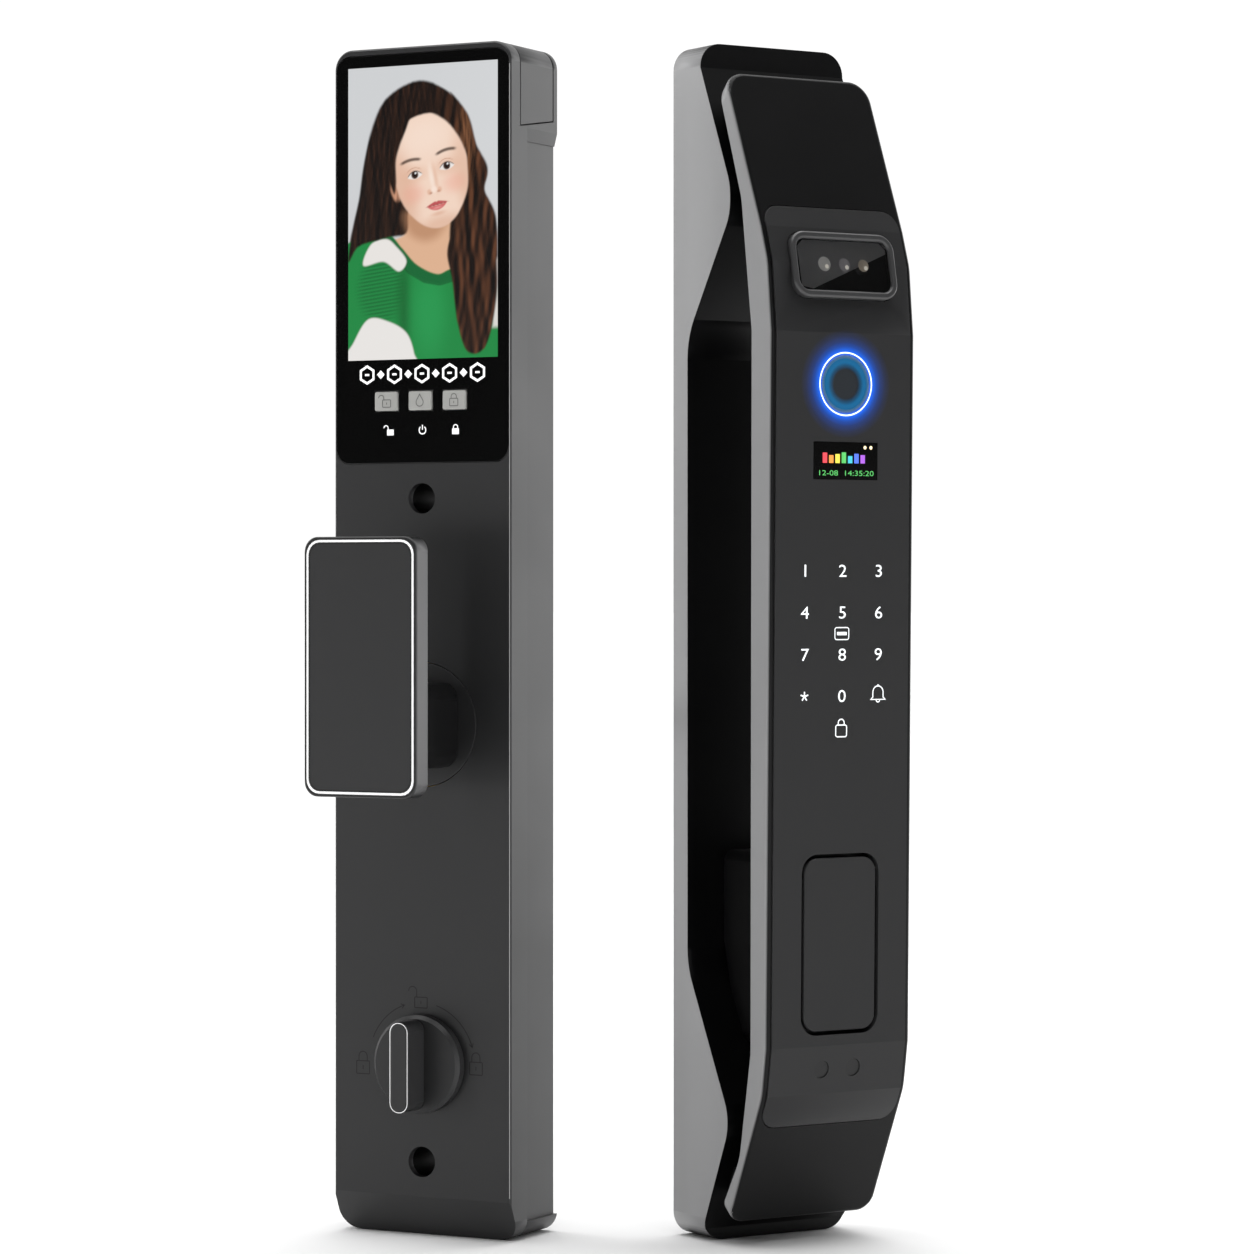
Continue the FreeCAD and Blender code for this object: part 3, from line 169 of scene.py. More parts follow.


# the second, lighter colour of each finish is painted reflected light on the sides
PANEL_PAINT = satin_paint_with_painted_side_light("satin powder paint charcoal", "#1f1f20", "#3c3c3d", INNER, 0.42)
CASE_PAINT = satin_paint_with_painted_side_light("satin powder paint inner case", "#202021", "#383839", INNER, 0.42)
GRIP_PAINT = satin_paint_with_painted_side_light("satin powder paint grip", "#060607", "#a0a0a1", OUTER, 0.34, 0.22)
COVER_PAINT = satin_paint_with_painted_side_light("satin powder paint cover", "#212122", "#3c3c3d", OUTER, 0.45, 0.4)
LEVER_PAINT = satin_paint_with_painted_side_light("satin powder paint pull plate", "#222223", "#626263", INNER, 0.38)
STEM_PAINT = satin_paint_with_painted_side_light("satin powder paint stem", "#101011", "#1a1a1b", INNER, 0.42, 0.3)

# %% [markdown]
# ## Glass, plastics and metals
# The screen sits behind one sheet of black-printed cover glass: smooth, with a glass IOR of 1.52.
# Hidden springs, bushes and bars keep plain metal finishes; a metal's colour is its reflection.

# %% Glass, plastics and metals
def plain(name, colour, rough, metal=0.0, ior=1.5, grain_mm=None, **sockets):
    """A finish of one colour, with a fine surface texture where the real one shows it."""
    made, tree, shader = material(name, colour, rough, metal, ior, **sockets)
    if grain_mm:
        grain(tree, shader, grain_mm, height_mm=0.01)
        rough_drift(tree, shader, max(rough - 0.06, 0.02), rough + 0.06, 15)
    return made


BLACK_GLASS = plain("black printed cover glass", "#040404", 0.06, ior=1.52)
BLACK_ABS = plain("moulded black ABS", "#0a0a0b", 0.38, ior=1.54, grain_mm=0.4)
KEY_PC = plain("moulded grey polycarbonate", "#b4b4b0", 0.45, ior=1.58, grain_mm=0.3)
BEZEL_PC = plain("satin black polycarbonate", "#3c3c3d", 0.34, ior=1.58, grain_mm=0.3)
CHROME = plain("polished chrome line", "#e6e6e8", 0.12, metal=1.0)
STEEL = plain("turned stainless steel", "#a9a9ab", 0.30, metal=1.0, grain_mm=0.5)
SPRING = plain("drawn spring steel", "#8d8f92", 0.35, metal=1.0, grain_mm=0.4)
BRASS = plain("turned brass", "#c2a562", 0.28, metal=1.0, grain_mm=0.5)
NITRILE = plain("moulded nitrile rubber", "#0b0b0b", 0.75, ior=1.52, grain_mm=0.5)
BOARD = plain("green soldermask on glass epoxy", "#123f22", 0.35, ior=1.55, grain_mm=0.6)
COPPER = plain("etched copper foil", "#c77a52", 0.35, metal=1.0, grain_mm=0.6)
CELL_WRAP = plain("shrink-wrapped battery film", "#1b2a4a", 0.3, ior=1.55, grain_mm=1.2)
WHITE_ABS = plain("moulded white ABS", "#d9d9d6", 0.42, ior=1.54, grain_mm=0.4)
BLACKENED = plain("blackened steel sleeve", "#050505", 0.5, metal=1.0, grain_mm=0.5)
WINDOW_PMMA = plain("smoked acrylic window", "#8f8f90", 0.04, ior=1.49,
                    Transmission_Weight=1.0)
LENS_GLASS = plain("coated lens glass", "#6f6f73", 0.12, ior=1.6)
SENSOR_FACE = plain("coated sensor face", "#1a2128", 0.3, ior=1.52)
CARBON = plain("carbon contact pad", "#0a0a0b", 0.45, ior=1.5, grain_mm=0.3)

# %% Give every frame part its finish
FINISHES = {
    PANEL_PAINT: ["inner_front_shell", "handle_rose", "thumbturn_disc", "thumbturn_grip"],
    BLACKENED: ["bolt_sleeves"],
    LEVER_PAINT: ["pull_plate"],
    STEM_PAINT: ["handle_stem"],
    CASE_PAINT: ["inner_rear_case", "battery_cover"],
    GRIP_PAINT: ["outer_base", "outer_handle"],
    COVER_PAINT: ["outer_front_cover", "key_cover"],
    BLACK_GLASS: ["inner_glass_panel", "outer_display", "inner_display"],
    BLACK_ABS: ["upper_handle_neck", "lower_handle_neck", "cylinder_boss",
                "inner_back_plate", "outer_back_plate"],
    KEY_PC: ["unlock_key", "power_key", "lock_key"],
    BEZEL_PC: ["camera_bezel"],
    CHROME: ["pull_plate_trim"],
    STEEL: ["handle_hub", "handle_spindle", "thumbturn_shaft", "mounting_posts",
            "thumbturn_tailpiece", "plug_tailpiece", "key_cover_pin", "inner_case_screws",
            "fingerprint_ring"],
    LENS_GLASS: ["infrared_lamp", "colour_camera", "depth_camera"],
    WINDOW_PMMA: ["camera_glass"],
    SENSOR_FACE: ["fingerprint_sensor"],
    CARBON: ["power_contacts"],
    SPRING: ["handle_return_spring", "tamper_spring", "handle_circlip", "thumbturn_clip",
             "plug_clip"],
    BRASS: ["key_plug", "lock_cylinder", "handle_bush", "thumbturn_bush"],
    NITRILE: ["outer_door_seal", "cable_grommet"],
    BOARD: ["inner_circuit_board", "keypad_board", "soft_key_domes"],
    COPPER: ["card_antenna"],
    CELL_WRAP: ["battery_pack"],
    WHITE_ABS: ["tamper_plunger"],
}


def wear(piece, finish):
    """Give a piece one finish all over."""
    piece.data.materials.clear()
    piece.data.materials.append(finish)


for finish, names in FINISHES.items():
    for name in names:
        wear(nodes[name], finish)
print("frame parts without a finish:",
      sorted(set(nodes) - {name for names in FINISHES.values() for name in names}))

# %% [markdown]
# ## Soft edges
# A cast and painted edge is never knife sharp: it catches a line of light. A bevel of a few
# tenths of a millimetre on the shown parts does this. The imported meshes are triangles with
# split corners, so each is welded and its flat faces joined first, which keeps the bevel clean.

# %% Bevel the edges of the shown parts
SOFT_EDGES = {0.4: ["inner_front_shell", "inner_rear_case", "battery_cover", "pull_plate",
                    "handle_stem", "outer_handle", "outer_front_cover"],
              0.2: ["inner_glass_panel", "unlock_key", "power_key", "lock_key", "handle_rose",
                    "thumbturn_grip", "camera_bezel", "key_cover", "cylinder_boss",
                    "outer_door_seal"],
              1.9: ["outer_base"]}


def soften(piece, width_mm):
    """Weld, join flat faces and bevel a part's sharp edges."""
    weld = piece.modifiers.new("weld", "WELD")
    weld.merge_threshold = 0.002 * MM
    flat = piece.modifiers.new("flat", "DECIMATE")
    flat.decimate_type = "DISSOLVE"
    flat.angle_limit = math.radians(0.4)
    bevel = piece.modifiers.new("edge", "BEVEL")
    bevel.width = width_mm * MM
    bevel.segments = 2
    bevel.limit_method = "ANGLE"
    bevel.angle_limit = math.radians(28)
    bevel.harden_normals = True


for width, names in SOFT_EDGES.items():
    for name in names:
        soften(nodes[name], width)

# %% [markdown]
# ## Printed and lit graphics
# The prints are thin inks a few hundredths of a millimetre proud of their face, and the painted
# highlights and reflections are drawn the same way. Each is drawn as flat shapes in face
# coordinates: x across and up, in millimetres. A stroke is a line with a width; a mesh holds all
# strokes and shapes of one finish. The digits use the built-in font, and the padlock, drop, bell,
# card and arrows are plain strokes.

# %% Inks and lights
def ink_or_painted_light(name, colour, glow=0.0, rough=0.5):
    """A print's colour, lit from behind when it has a glow; the painted highlights and reflections
    are made with it too.
    """
    made, _, shader = material(name, colour, rough)
    if glow:
        shader.inputs["Emission Color"].default_value = rgb(colour)
        shader.inputs["Emission Strength"].default_value = glow
    return made


WHITE_INK = ink_or_painted_light("white print on glass", "#e9e9e9", 0.75)
ENGRAVED = ink_or_painted_light("engraved and blackened line", "#050505", 0.0, 0.7)
KEY_PRINT = ink_or_painted_light("grey key print", "#6f6f6d")
# a glowing white line that stands in for light caught on an edge: a painted highlight
PAINTED_HIGHLIGHT_LINE = ink_or_painted_light("painted highlight line", "#f4f4f4", 0.35)
DARK_LINE = ink_or_painted_light("dark edge line", "#060606")
DIGIT_LIGHT = ink_or_painted_light("white backlit digit", "#e6eaec", 0.85)
CLOCK_LIGHT = ink_or_painted_light("green display segment", "#4fb35a", 0.8)
AMBER_LIGHT = ink_or_painted_light("pale status light", "#ffe9b8", 1.0)
BAR_LIGHTS = [ink_or_painted_light(f"display bar {name}", code, 0.9) for name, code in
              (("red", "#d8404a"), ("orange", "#e08a3a"), ("yellow", "#dccb4a"),
               ("green", "#4fb05a"), ("cyan", "#3fb0c0"), ("blue", "#4a6ad8"),
               ("violet", "#9a55c8"))]
HALO_CORE = ink_or_painted_light("pale halo core", "#d6e6ff", 1.5)

# %% Faces and shapes
COVER_FOOT_UP, COVER_HEAD_UP = 67.9, 305.0
COVER_FOOT_DEEP, COVER_HEAD_DEEP, COVER_PROUD = 56.4, 59.5, 0.5
COVER_LEAN = (COVER_HEAD_DEEP - COVER_FOOT_DEEP) / (COVER_HEAD_UP - COVER_FOOT_UP)
PRINT_LIFT = 0.04    # how proud of its face a print stands


def flat_face(depth):
    """A flat face of the inside case at its own depth: gives the point at (x, up, lift)."""
    return lambda x, up, lift: INNER @ Vector((x, depth + lift, up))


inner_face, key_face = flat_face(33.0), flat_face(33.7)
disc_face, grip_face, plate_face = flat_face(37.4), flat_face(48.6), flat_face(74.0)


def cover_face(x, up, lift):
    """A point on the leaning front cover of the outside case."""
    deep = COVER_FOOT_DEEP + COVER_PROUD + (up - COVER_FOOT_UP) * COVER_LEAN
    return OUTER @ Vector((x, deep + lift, up))


def add_piece(name, mesh, finish, body):
    """Make a piece of a mesh, give it a finish and let it ride on a body."""
    made = bpy.data.objects.new(name, mesh)
    bpy.context.collection.objects.link(made)
    wear(made, finish)
    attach(made, body)


def lay_print_or_painted_light(name, finish, face, shapes, body="root", lift=PRINT_LIFT):
    """One print or painted highlight as a mesh: shapes are closed lists of (x, up) points on a
    face.
    """
    corners, faces = [], []
    for shape in shapes:
        faces.append(range(len(corners), len(corners) + len(shape)))
        corners += [face(x, up, lift) for x, up in shape]
    mesh = bpy.data.meshes.new(name)
    mesh.from_pydata(corners, [], faces)
    add_piece(name, mesh, finish, body)


def stroke(points, width, closed=False):
    """Quads that follow a line of (x, up) points, with mitred joints."""
    spots = [Vector(p) for p in points]
    count = len(spots)
    rails = []
    for i, spot in enumerate(spots):
        before = spots[i - 1] if (i or closed) else None
        after = spots[(i + 1) % count] if (i < count - 1 or closed) else None
        first = (spot - before).normalized() if before else (after - spot).normalized()
        second = (after - spot).normalized() if after else first
        along = (first + second).normalized()
        side = Vector((-along.y, along.x))
        reach = width / 2 / max(side.dot(Vector((-first.y, first.x))), 0.5)
        rails.append((spot + side * reach, spot - side * reach))
    pairs = list(zip(rails, rails[1:] + rails[:1])) if closed else list(zip(rails, rails[1:]))
    return [[a[0], b[0], b[1], a[1]] for a, b in pairs]


def arc(x, up, radius, start, end, steps=12):
    """Points along a part of a circle, angles in degrees."""
    angles = [math.radians(start + (end - start) * i / steps) for i in range(steps + 1)]
    return [(x + radius * math.cos(angle), up + radius * math.sin(angle)) for angle in angles]


def dot(x, up, radius, steps):
    """A filled circle."""
    return [arc(x, up, radius, 0, 360, steps)[:-1]]


def bar(x, up, width, height):
    """A filled rectangle about its centre."""
    w, h = width / 2, height / 2
    return [[(x - w, up - h), (x + w, up - h), (x + w, up + h), (x - w, up + h)]]


def frame_box(x, up, width, height, corner, line):
    """The outline of a round-cornered rectangle."""
    w, h = width / 2 - corner, height / 2 - corner
    ring = [p for k, (a, b) in enumerate(((w, -h), (w, h), (-w, h), (-w, -h)))
            for p in arc(x + a, up + b, corner, -90 + 90 * k, 90 * k, 5)]
    return stroke(ring, line, closed=True)


def padlock(x, foot, wide, body, rise, line, shut=True, filled=False):
    """A padlock on its foot: a body with a keyhole, and a bow that is shut or swung aside."""
    shapes = bar(x, foot + body / 2, wide, body) if filled \
        else frame_box(x, foot + body / 2, wide, body, line, line)
    if not filled:
        shapes += bar(x, foot + body / 2, line, body * 0.3)
    bow, base = wide * 0.32, foot + body
    middle = x if shut else x - wide / 2 - bow * 0.5
    points = [(middle + bow, base)] + arc(middle, base + rise, bow, 0, 180, 10)
    return shapes + stroke(points + ([(middle - bow, base)] if shut else []), line)


DIGIT_SHARE = 0.72    # a digit's height as a share of the font size


def glyphs(text, x, up, tall, name, finish, lift=PRINT_LIFT, widen=1.2):
    """Digits of the built-in font on the front cover, centred on (x, up)."""
    curve = bpy.data.curves.new(name, "FONT")
    curve.body, curve.align_x, curve.align_y = text, "CENTER", "CENTER"
    curve.size, curve.resolution_u = tall / DIGIT_SHARE, 3
    holder = bpy.data.objects.new(name + " type", curve)
    bpy.context.collection.objects.link(holder)
    mesh = bpy.data.meshes.new_from_object(
        holder.evaluated_get(bpy.context.evaluated_depsgraph_get()))
    bpy.data.objects.remove(holder)
    heights = [v.co.y for v in mesh.vertices]
    middle = (min(heights) + max(heights)) / 2
    for v in mesh.vertices:
        v.co = cover_face(x + v.co.x * widen, up + v.co.y - middle, lift)
    add_piece(name, mesh, finish, "root")

# %% [markdown]
# ## The inside case's prints
# Under the screen, a row of plain ornaments stands where a maker would put a name. The three soft
# keys carry a faint print, with a white sign under each.

# %% Prints of the inside case
def ornament_row(first=-21.5, up=293.0, step=5.4, count=9):
    """A row of hexagons with a bar inside, and diamonds between them."""
    shapes = []
    for k in range(count):
        x = first + step * k
        if k % 2:
            shapes += [[(x, up - 1.5), (x + 1.5, up), (x, up + 1.5), (x - 1.5, up)]]
        else:
            shapes += stroke(arc(x, up, 2.9, 30, 330, 5), 0.8, closed=True) + bar(x, up, 1.7, 0.7)
    return shapes


lay_print_or_painted_light("ornament_row", WHITE_INK, inner_face, ornament_row())
lay_print_or_painted_light("padlock_open_print", WHITE_INK, inner_face,
         padlock(-12.3, 272.2, 2.6, 2.0, 0.5, 0.35, shut=False, filled=True))
lay_print_or_painted_light("power_print", WHITE_INK, inner_face,
         stroke(arc(0.3, 273.8, 1.3, 125, 415, 20), 0.4)
         + stroke([(0.3, 273.9), (0.3, 275.6)], 0.4))
lay_print_or_painted_light("padlock_shut_print", WHITE_INK, inner_face,
         padlock(13.2, 272.2, 2.6, 2.0, 0.4, 0.35, filled=True))

# the faint prints of the keys; the middle one is a drop
drop = [(-0.4, 286.0)] + arc(-0.4, 283.3, 1.4, 30, -210, 16)
lay_print_or_painted_light("unlock_key_print", KEY_PRINT, key_face,
         padlock(-13.4, 281.8, 3.2, 2.5, 0.6, 0.3, shut=False), body="unlock_button")
lay_print_or_painted_light("power_key_print", KEY_PRINT, key_face, stroke(drop, 0.3, closed=True),
         body="power_button")
lay_print_or_painted_light("lock_key_print", KEY_PRINT, key_face, padlock(12.9, 281.8, 3.2, 2.5, 0.6, 0.3),
         body="lock_button")

# centres of the thumb turn and the pull plate
TURN, PLATE = (0.0, 58.7), (0.0, 193.95)


def turn_arrow(start, end, radius=20.7):
    """A thin curved arrow round the thumb turn, from one angle to another."""
    shapes = stroke(arc(*TURN, radius, start, end, 16), 0.3)
    tip = Vector(arc(*TURN, radius, end, end, 1)[0])
    turn = math.copysign(1, end - start)
    along = Vector((-math.sin(math.radians(end)), math.cos(math.radians(end)))) * turn
    side = Vector((-along.y, along.x))
    return shapes + stroke([tip - along * 1.3 + side * 0.8, tip, tip - along * 1.3 - side * 0.8],
                           0.3)


lay_print_or_painted_light("turn_marks", ENGRAVED, inner_face,
         padlock(-0.3, 77.6, 4.9, 3.6, 2.0, 0.3, shut=False)
         + padlock(-23.1, 54.1, 5.1, 4.4, 1.6, 0.3) + padlock(21.1, 55.9, 4.9, 4.3, 1.6, 0.3)
         + turn_arrow(157, 109) + turn_arrow(74, 18))

# painted highlights: glowing lines round the thumb turn's grip, at its root and on the case's
# edge, and one round the pull plate between two dark ones
lay_print_or_painted_light("grip_edge_painted_highlights", PAINTED_HIGHLIGHT_LINE, grip_face, frame_box(*TURN, 6.7, 30.1, 3.2, 0.24),
         body="thumbturn", lift=0.02)
lay_print_or_painted_light("grip_root_painted_highlight", PAINTED_HIGHLIGHT_LINE, disc_face,
         stroke([(3.65, 46.8), (3.65, 70.5)] + arc(1.65, 70.5, 2.0, 0, 60, 4), 0.24),
         body="thumbturn", lift=0.08)
# the line along the case's front edge is a painted highlight, grey and faintly glowing
lay_print_or_painted_light("case_edge_painted_highlight", ink_or_painted_light("painted case edge highlight", "#a8a8a8", 0.22), inner_face,
         stroke([(34.05, 15.0), (34.05, 396.5)], 0.26), lift=0.03)
lay_print_or_painted_light("pull_plate_painted_highlight", PAINTED_HIGHLIGHT_LINE, plate_face,
         frame_box(*PLATE, 40.4, 83.6, 4.6, 0.75), body="lever", lift=0.05)
lay_print_or_painted_light("pull_plate_dark_lines", DARK_LINE, plate_face,
         frame_box(*PLATE, 41.9, 85.1, 5.0, 0.7)
         + frame_box(*PLATE, 38.9, 82.1, 4.2, 0.6), body="lever", lift=0.03)

# %% [markdown]
# ## The outside case's prints and lights
# The keypad's digits glow white through the cover. The reader's ring glows blue round a dark
# sensor; the little display shows a row of coloured bars and a clock.

# %% Prints of the outside case
COLUMNS, ROWS = (-15.1, 0.0, 14.7), (225.9, 212.0, 198.0, 184.2)
for place, sign in enumerate("123456789 0"):
    if sign != " ":
        glyphs(sign, COLUMNS[place % 3], ROWS[place // 3], 4.2, f"digit_{sign}_light", DIGIT_LIGHT)
star_x, star_up = COLUMNS[0], ROWS[3]
lay_print_or_painted_light("star_light", DIGIT_LIGHT, cover_face,
         [quad for angle in (90, 18, -54, -126, 162)
          for quad in stroke([(star_x, star_up), arc(star_x, star_up, 1.6, angle, angle, 1)[0]],
                             0.5)])
bell_x, bell_up = COLUMNS[2], ROWS[3] + 0.6
bell = [(bell_x - 2.9, bell_up - 1.9), (bell_x - 2.1, bell_up - 1.1)] \
    + arc(bell_x, bell_up + 0.5, 2.1, 172, 8, 12) \
    + [(bell_x + 2.1, bell_up - 1.1), (bell_x + 2.9, bell_up - 1.9)]
lay_print_or_painted_light("bell_light", DIGIT_LIGHT, cover_face,
         stroke(bell, 0.4, True) + dot(bell_x, bell_up + 2.8, 0.35, 10)
         + stroke(arc(bell_x, bell_up - 2.0, 0.75, 180, 360, 8), 0.4))
lay_print_or_painted_light("card_light", DIGIT_LIGHT, cover_face,
         frame_box(-0.2, 205.0, 5.6, 4.0, 0.7, 0.35) + bar(-0.2, 205.0, 3.9, 1.1))
lay_print_or_painted_light("padlock_light", DIGIT_LIGHT, cover_face,
         frame_box(-0.2, 172.6, 4.4, 3.9, 0.7, 0.4)
         + stroke([(1.0, 174.5)] + arc(-0.2, 175.3, 1.2, 0, 180, 10) + [(-1.4, 174.5)], 0.4))

# the centre of the fingerprint reader
READER = (0.5, 288.0)


def reader_ring(inner, outer, turns=64):
    """A flat ring round the reader, as quads."""
    rims = [arc(*READER, radius, 0, 360, turns) for radius in (inner, outer)]
    return [[rims[0][i], rims[1][i], rims[1][i + 1], rims[0][i + 1]] for i in range(turns)]


lay_print_or_painted_light("reader_core_light", HALO_CORE, cover_face, reader_ring(10.2, 10.65), lift=0.24)


def glow(name, code, strengths, lift, power, turns=72):
    """A lit ring that fades out: strengths are (radius, opacity) pairs from inside out."""
    corners, alphas, faces = [], [], []
    for radius, alpha in strengths:
        corners += [cover_face(x, up, lift) for x, up in arc(*READER, radius, 0, 360, turns)[:-1]]
        alphas += [alpha] * turns
    for ring in range(len(strengths) - 1):
        for i in range(turns):
            a, b = ring * turns + i, ring * turns + (i + 1) % turns
            faces.append((a, a + turns, b + turns, b))
    mesh = bpy.data.meshes.new(name)
    mesh.from_pydata(corners, [], faces)
    fade = mesh.color_attributes.new("fade", "FLOAT_COLOR", "POINT")
    fade.data.foreach_set("color", np.repeat(np.array(alphas, np.float32), 4))
    finish, tree, shader = material(name, "#000000", 1.0)
    shader.inputs["Emission Color"].default_value = rgb(code)
    shader.inputs["Emission Strength"].default_value = power
    shader.inputs["Specular IOR Level"].default_value = 0.0
    tree.links.new(node(tree, "ShaderNodeVertexColor", {"layer_name": "fade"}).outputs["Color"],
                   shader.inputs["Alpha"])
    add_piece(name, mesh, finish, "root")


glow("reader_glow", "#2f74ff", [(9.2, 0.0), (9.8, 0.6), (10.2, 0.95), (10.9, 0.9), (11.6, 0.62),
                                (12.6, 0.34), (14.0, 0.14), (16.0, 0.04), (18.0, 0.0)], 0.20, 1.1)
glow("reader_inner_glow", "#2f86c0", [(4.9, 0.0), (6.2, 0.4), (7.2, 0.85), (8.4, 0.75),
                                      (9.3, 0.3), (9.8, 0.1)], 0.17, 0.75)

# the little display: bars, two status dots and a clock
SCREEN_LIFT, BAR_STEP, BAR_FOOT = 0.1, 2.55, 261.7
for k, (finish, tall) in enumerate(zip(BAR_LIGHTS, (3.4, 2.6, 3.0, 3.6, 2.4, 3.2, 2.8))):
    lay_print_or_painted_light(f"display_bar_{k + 1}", finish, cover_face,
             bar(-7.6 + k * BAR_STEP, BAR_FOOT + tall / 2, 1.8, tall), lift=SCREEN_LIFT)
lay_print_or_painted_light("display_status_lights", AMBER_LIGHT, cover_face,
         dot(8.6, 267.0, 0.6, 12) + dot(11.0, 267.0, 0.6, 12), lift=SCREEN_LIFT)
glyphs("12-08  14:35:20", 0.85, 258.4, 1.8, "display_clock_light", CLOCK_LIGHT,
       lift=SCREEN_LIFT, widen=1.45)

# the camera window: a painted reflection streak across it, and painted glints of its three lenses
WINDOW_LEAN = math.radians(11)
WINDOW_EAST, WINDOW_DEEP, WINDOW_UP = 0.8, 57.6, 327.5


def window_face(x, up, lift):
    """A point on the leaning camera window, from its centre."""
    deep = WINDOW_DEEP - up * math.sin(WINDOW_LEAN) + lift * math.cos(WINDOW_LEAN)
    return OUTER @ Vector((WINDOW_EAST + x, deep, WINDOW_UP + up * math.cos(WINDOW_LEAN)))


# a pale see-through sheet across the window stands in for a reflection: painted reflection
PAINTED_REFLECTION_STREAK = ink_or_painted_light("painted window reflection", "#cfcfcf")
PAINTED_REFLECTION_STREAK.node_tree.nodes["Principled BSDF"].inputs["Alpha"].default_value = 0.5
lay_print_or_painted_light("camera_window_painted_reflection", PAINTED_REFLECTION_STREAK, window_face,
         [[(-17.5, -7.5), (-13, -8.3), (17.8, 4.6), (17.8, 6.0), (15.5, 8.3), (-15.5, 8.3),
           (-17.9, 6.0)]], lift=0.35)
# faintly glowing discs on the window with a brighter spot in each: painted reflections and
# highlights of the lenses
PAINTED_LENS_GLINTS = ((-7.6, 2.5, "#c9c8c4"), (0.5, 2.3, "#a3a0a2"), (8.2, 2.1, "#b4aa9a"))
for number, (x, radius, code) in enumerate(PAINTED_LENS_GLINTS, 1):
    lay_print_or_painted_light(f"lens_glint_{number}", ink_or_painted_light(f"painted lens reflection {number}", code, 0.22), window_face,
             dot(x, 0.3, radius, 28), lift=0.45)
    lay_print_or_painted_light(f"lens_painted_highlight_{number}", ink_or_painted_light(f"painted lens highlight {number}", "#efeade", 0.6), window_face,
             dot(x + 0.9, -0.5, 0.75, 18), lift=0.5)

# %% [markdown]
# ## The picture on the inside screen
# The screen shows a visitor at the door. The visitor here is an invented one: the face is laid
# out by the usual proportions, with the eyes halfway down the head, the nose end halfway from the
# brows to the chin and the mouth a third of the way below that. The picture is computed:
# soft-edged shapes are painted one over another on a fine grid, the face in the head's own tilted
# axes, and stored as one colour for each point.

# %% Paint the picture as colours on a grid
SCREEN_WEST, SCREEN_TOP, SCREEN_WIDE, SCREEN_TALL = -29.0, 398.0, 58.5, 100.0
COLS, LINES = 190, 325
X, Y = np.meshgrid(np.linspace(0, SCREEN_WIDE, COLS), np.linspace(0, SCREEN_TALL, LINES))
canvas = np.empty((LINES, COLS, 3))


def tone(code):
    """An sRGB hex colour as a linear RGB array."""
    return np.array(rgb(code)[:3])


def blend(mask, colour, strength=1.0):
    """Paint a colour where a mask is 1."""
    global canvas
    mask = np.clip(mask * strength, 0, 1)[..., None]
    canvas = canvas * (1 - mask) + colour * mask


def soft(distance, edge):
    """1 inside a shape, 0 outside it, over a soft edge; distance is negative inside."""
    t = np.clip(0.5 - distance / edge, 0, 1)
    return t * t * (3 - 2 * t)


def blob(x, y, cx, cy, rx, ry, edge):
    """Soft mask of an ellipse."""
    return soft((np.hypot((x - cx) / rx, (y - cy) / ry) - 1) * min(rx, ry), edge)


def gap_to(x, y, starts, ends):
    """Distance to the nearest of the straight lines from each start to its end."""
    nearest = np.full(x.shape, 1e9)
    for (x1, y1), (x2, y2) in zip(starts, ends):
        run = np.array((x2 - x1, y2 - y1))
        t = np.clip(((x - x1) * run[0] + (y - y1) * run[1]) / (run @ run), 0, 1)
        nearest = np.minimum(nearest, np.hypot(x - x1 - t * run[0], y - y1 - t * run[1]))
    return nearest


def inside(x, y, points, edge):
    """Soft mask of a closed shape through (x, y) points."""
    spots = np.array(points, float)
    ends = np.roll(spots, -1, axis=0)
    nearest = gap_to(x, y, spots, ends)
    odd = np.zeros(x.shape, bool)
    for (x1, y1), (x2, y2) in zip(spots, ends):
        crosses = (y1 > y) != (y2 > y)
        with np.errstate(divide="ignore", invalid="ignore"):
            odd ^= crosses & (x < (x2 - x1) * (y - y1) / (y2 - y1 if y2 != y1 else 1e-9) + x1)
    return soft(np.where(odd, -nearest, nearest), edge)


def curve(points, count=60):
    """A smooth closed line through a few points."""
    spots = np.array(points, float)
    t = np.arange(count) / count * len(spots)
    k = t.astype(int)
    f = (t - k)[:, None]
    a, b, c, d = (spots[(k + i) % len(spots)] for i in (-1, 0, 1, 2))
    return 0.5 * (2 * b + (c - a) * f + (2 * a - 5 * b + 4 * c - d) * f ** 2
                  + (3 * b - a - 3 * c + d) * f ** 3)


def strands(x, y, period, bend, seed):
    """Wavy streaks of mixed width that run down the hair, between 0 and 1."""
    rng = np.random.default_rng(seed)
    total = np.zeros(x.shape)
    for k in range(7):
        wave = x + bend * np.sin(y / rng.uniform(5, 10) + rng.uniform(0, 6)) \
            + 0.1 * bend * y * rng.uniform(-0.4, 0.4)
        total += np.sin(wave * 6.28 / (period * rng.uniform(0.5, 1.8)) + rng.uniform(0, 6))
    return np.clip(0.5 + total / 7.0, 0, 1)


canvas[:] = tone("#d3d5d7")
blend(np.clip((X - 20) / 60, 0, 1), tone("#dadcde"), 0.8)
blend(np.clip((Y - 30) / 90, 0, 1), tone("#c4c7ca"), 0.5)
# hair behind the head and shoulders
back_hair = curve([(27, 5.5), (37, 8.5), (45, 17), (50, 28), (54.5, 36), (53, 43), (57.5, 52),
                   (58.5, 66), (58, 82), (55, 96), (44, 92), (39, 60), (20, 58), (8, 60),
                   (0.5, 66), (1, 58), (4, 47), (6, 36), (9, 22), (15, 11)], 160)
hair_mask = inside(X, Y, back_hair, 1.2)
blend(hair_mask, tone("#130c0a"))
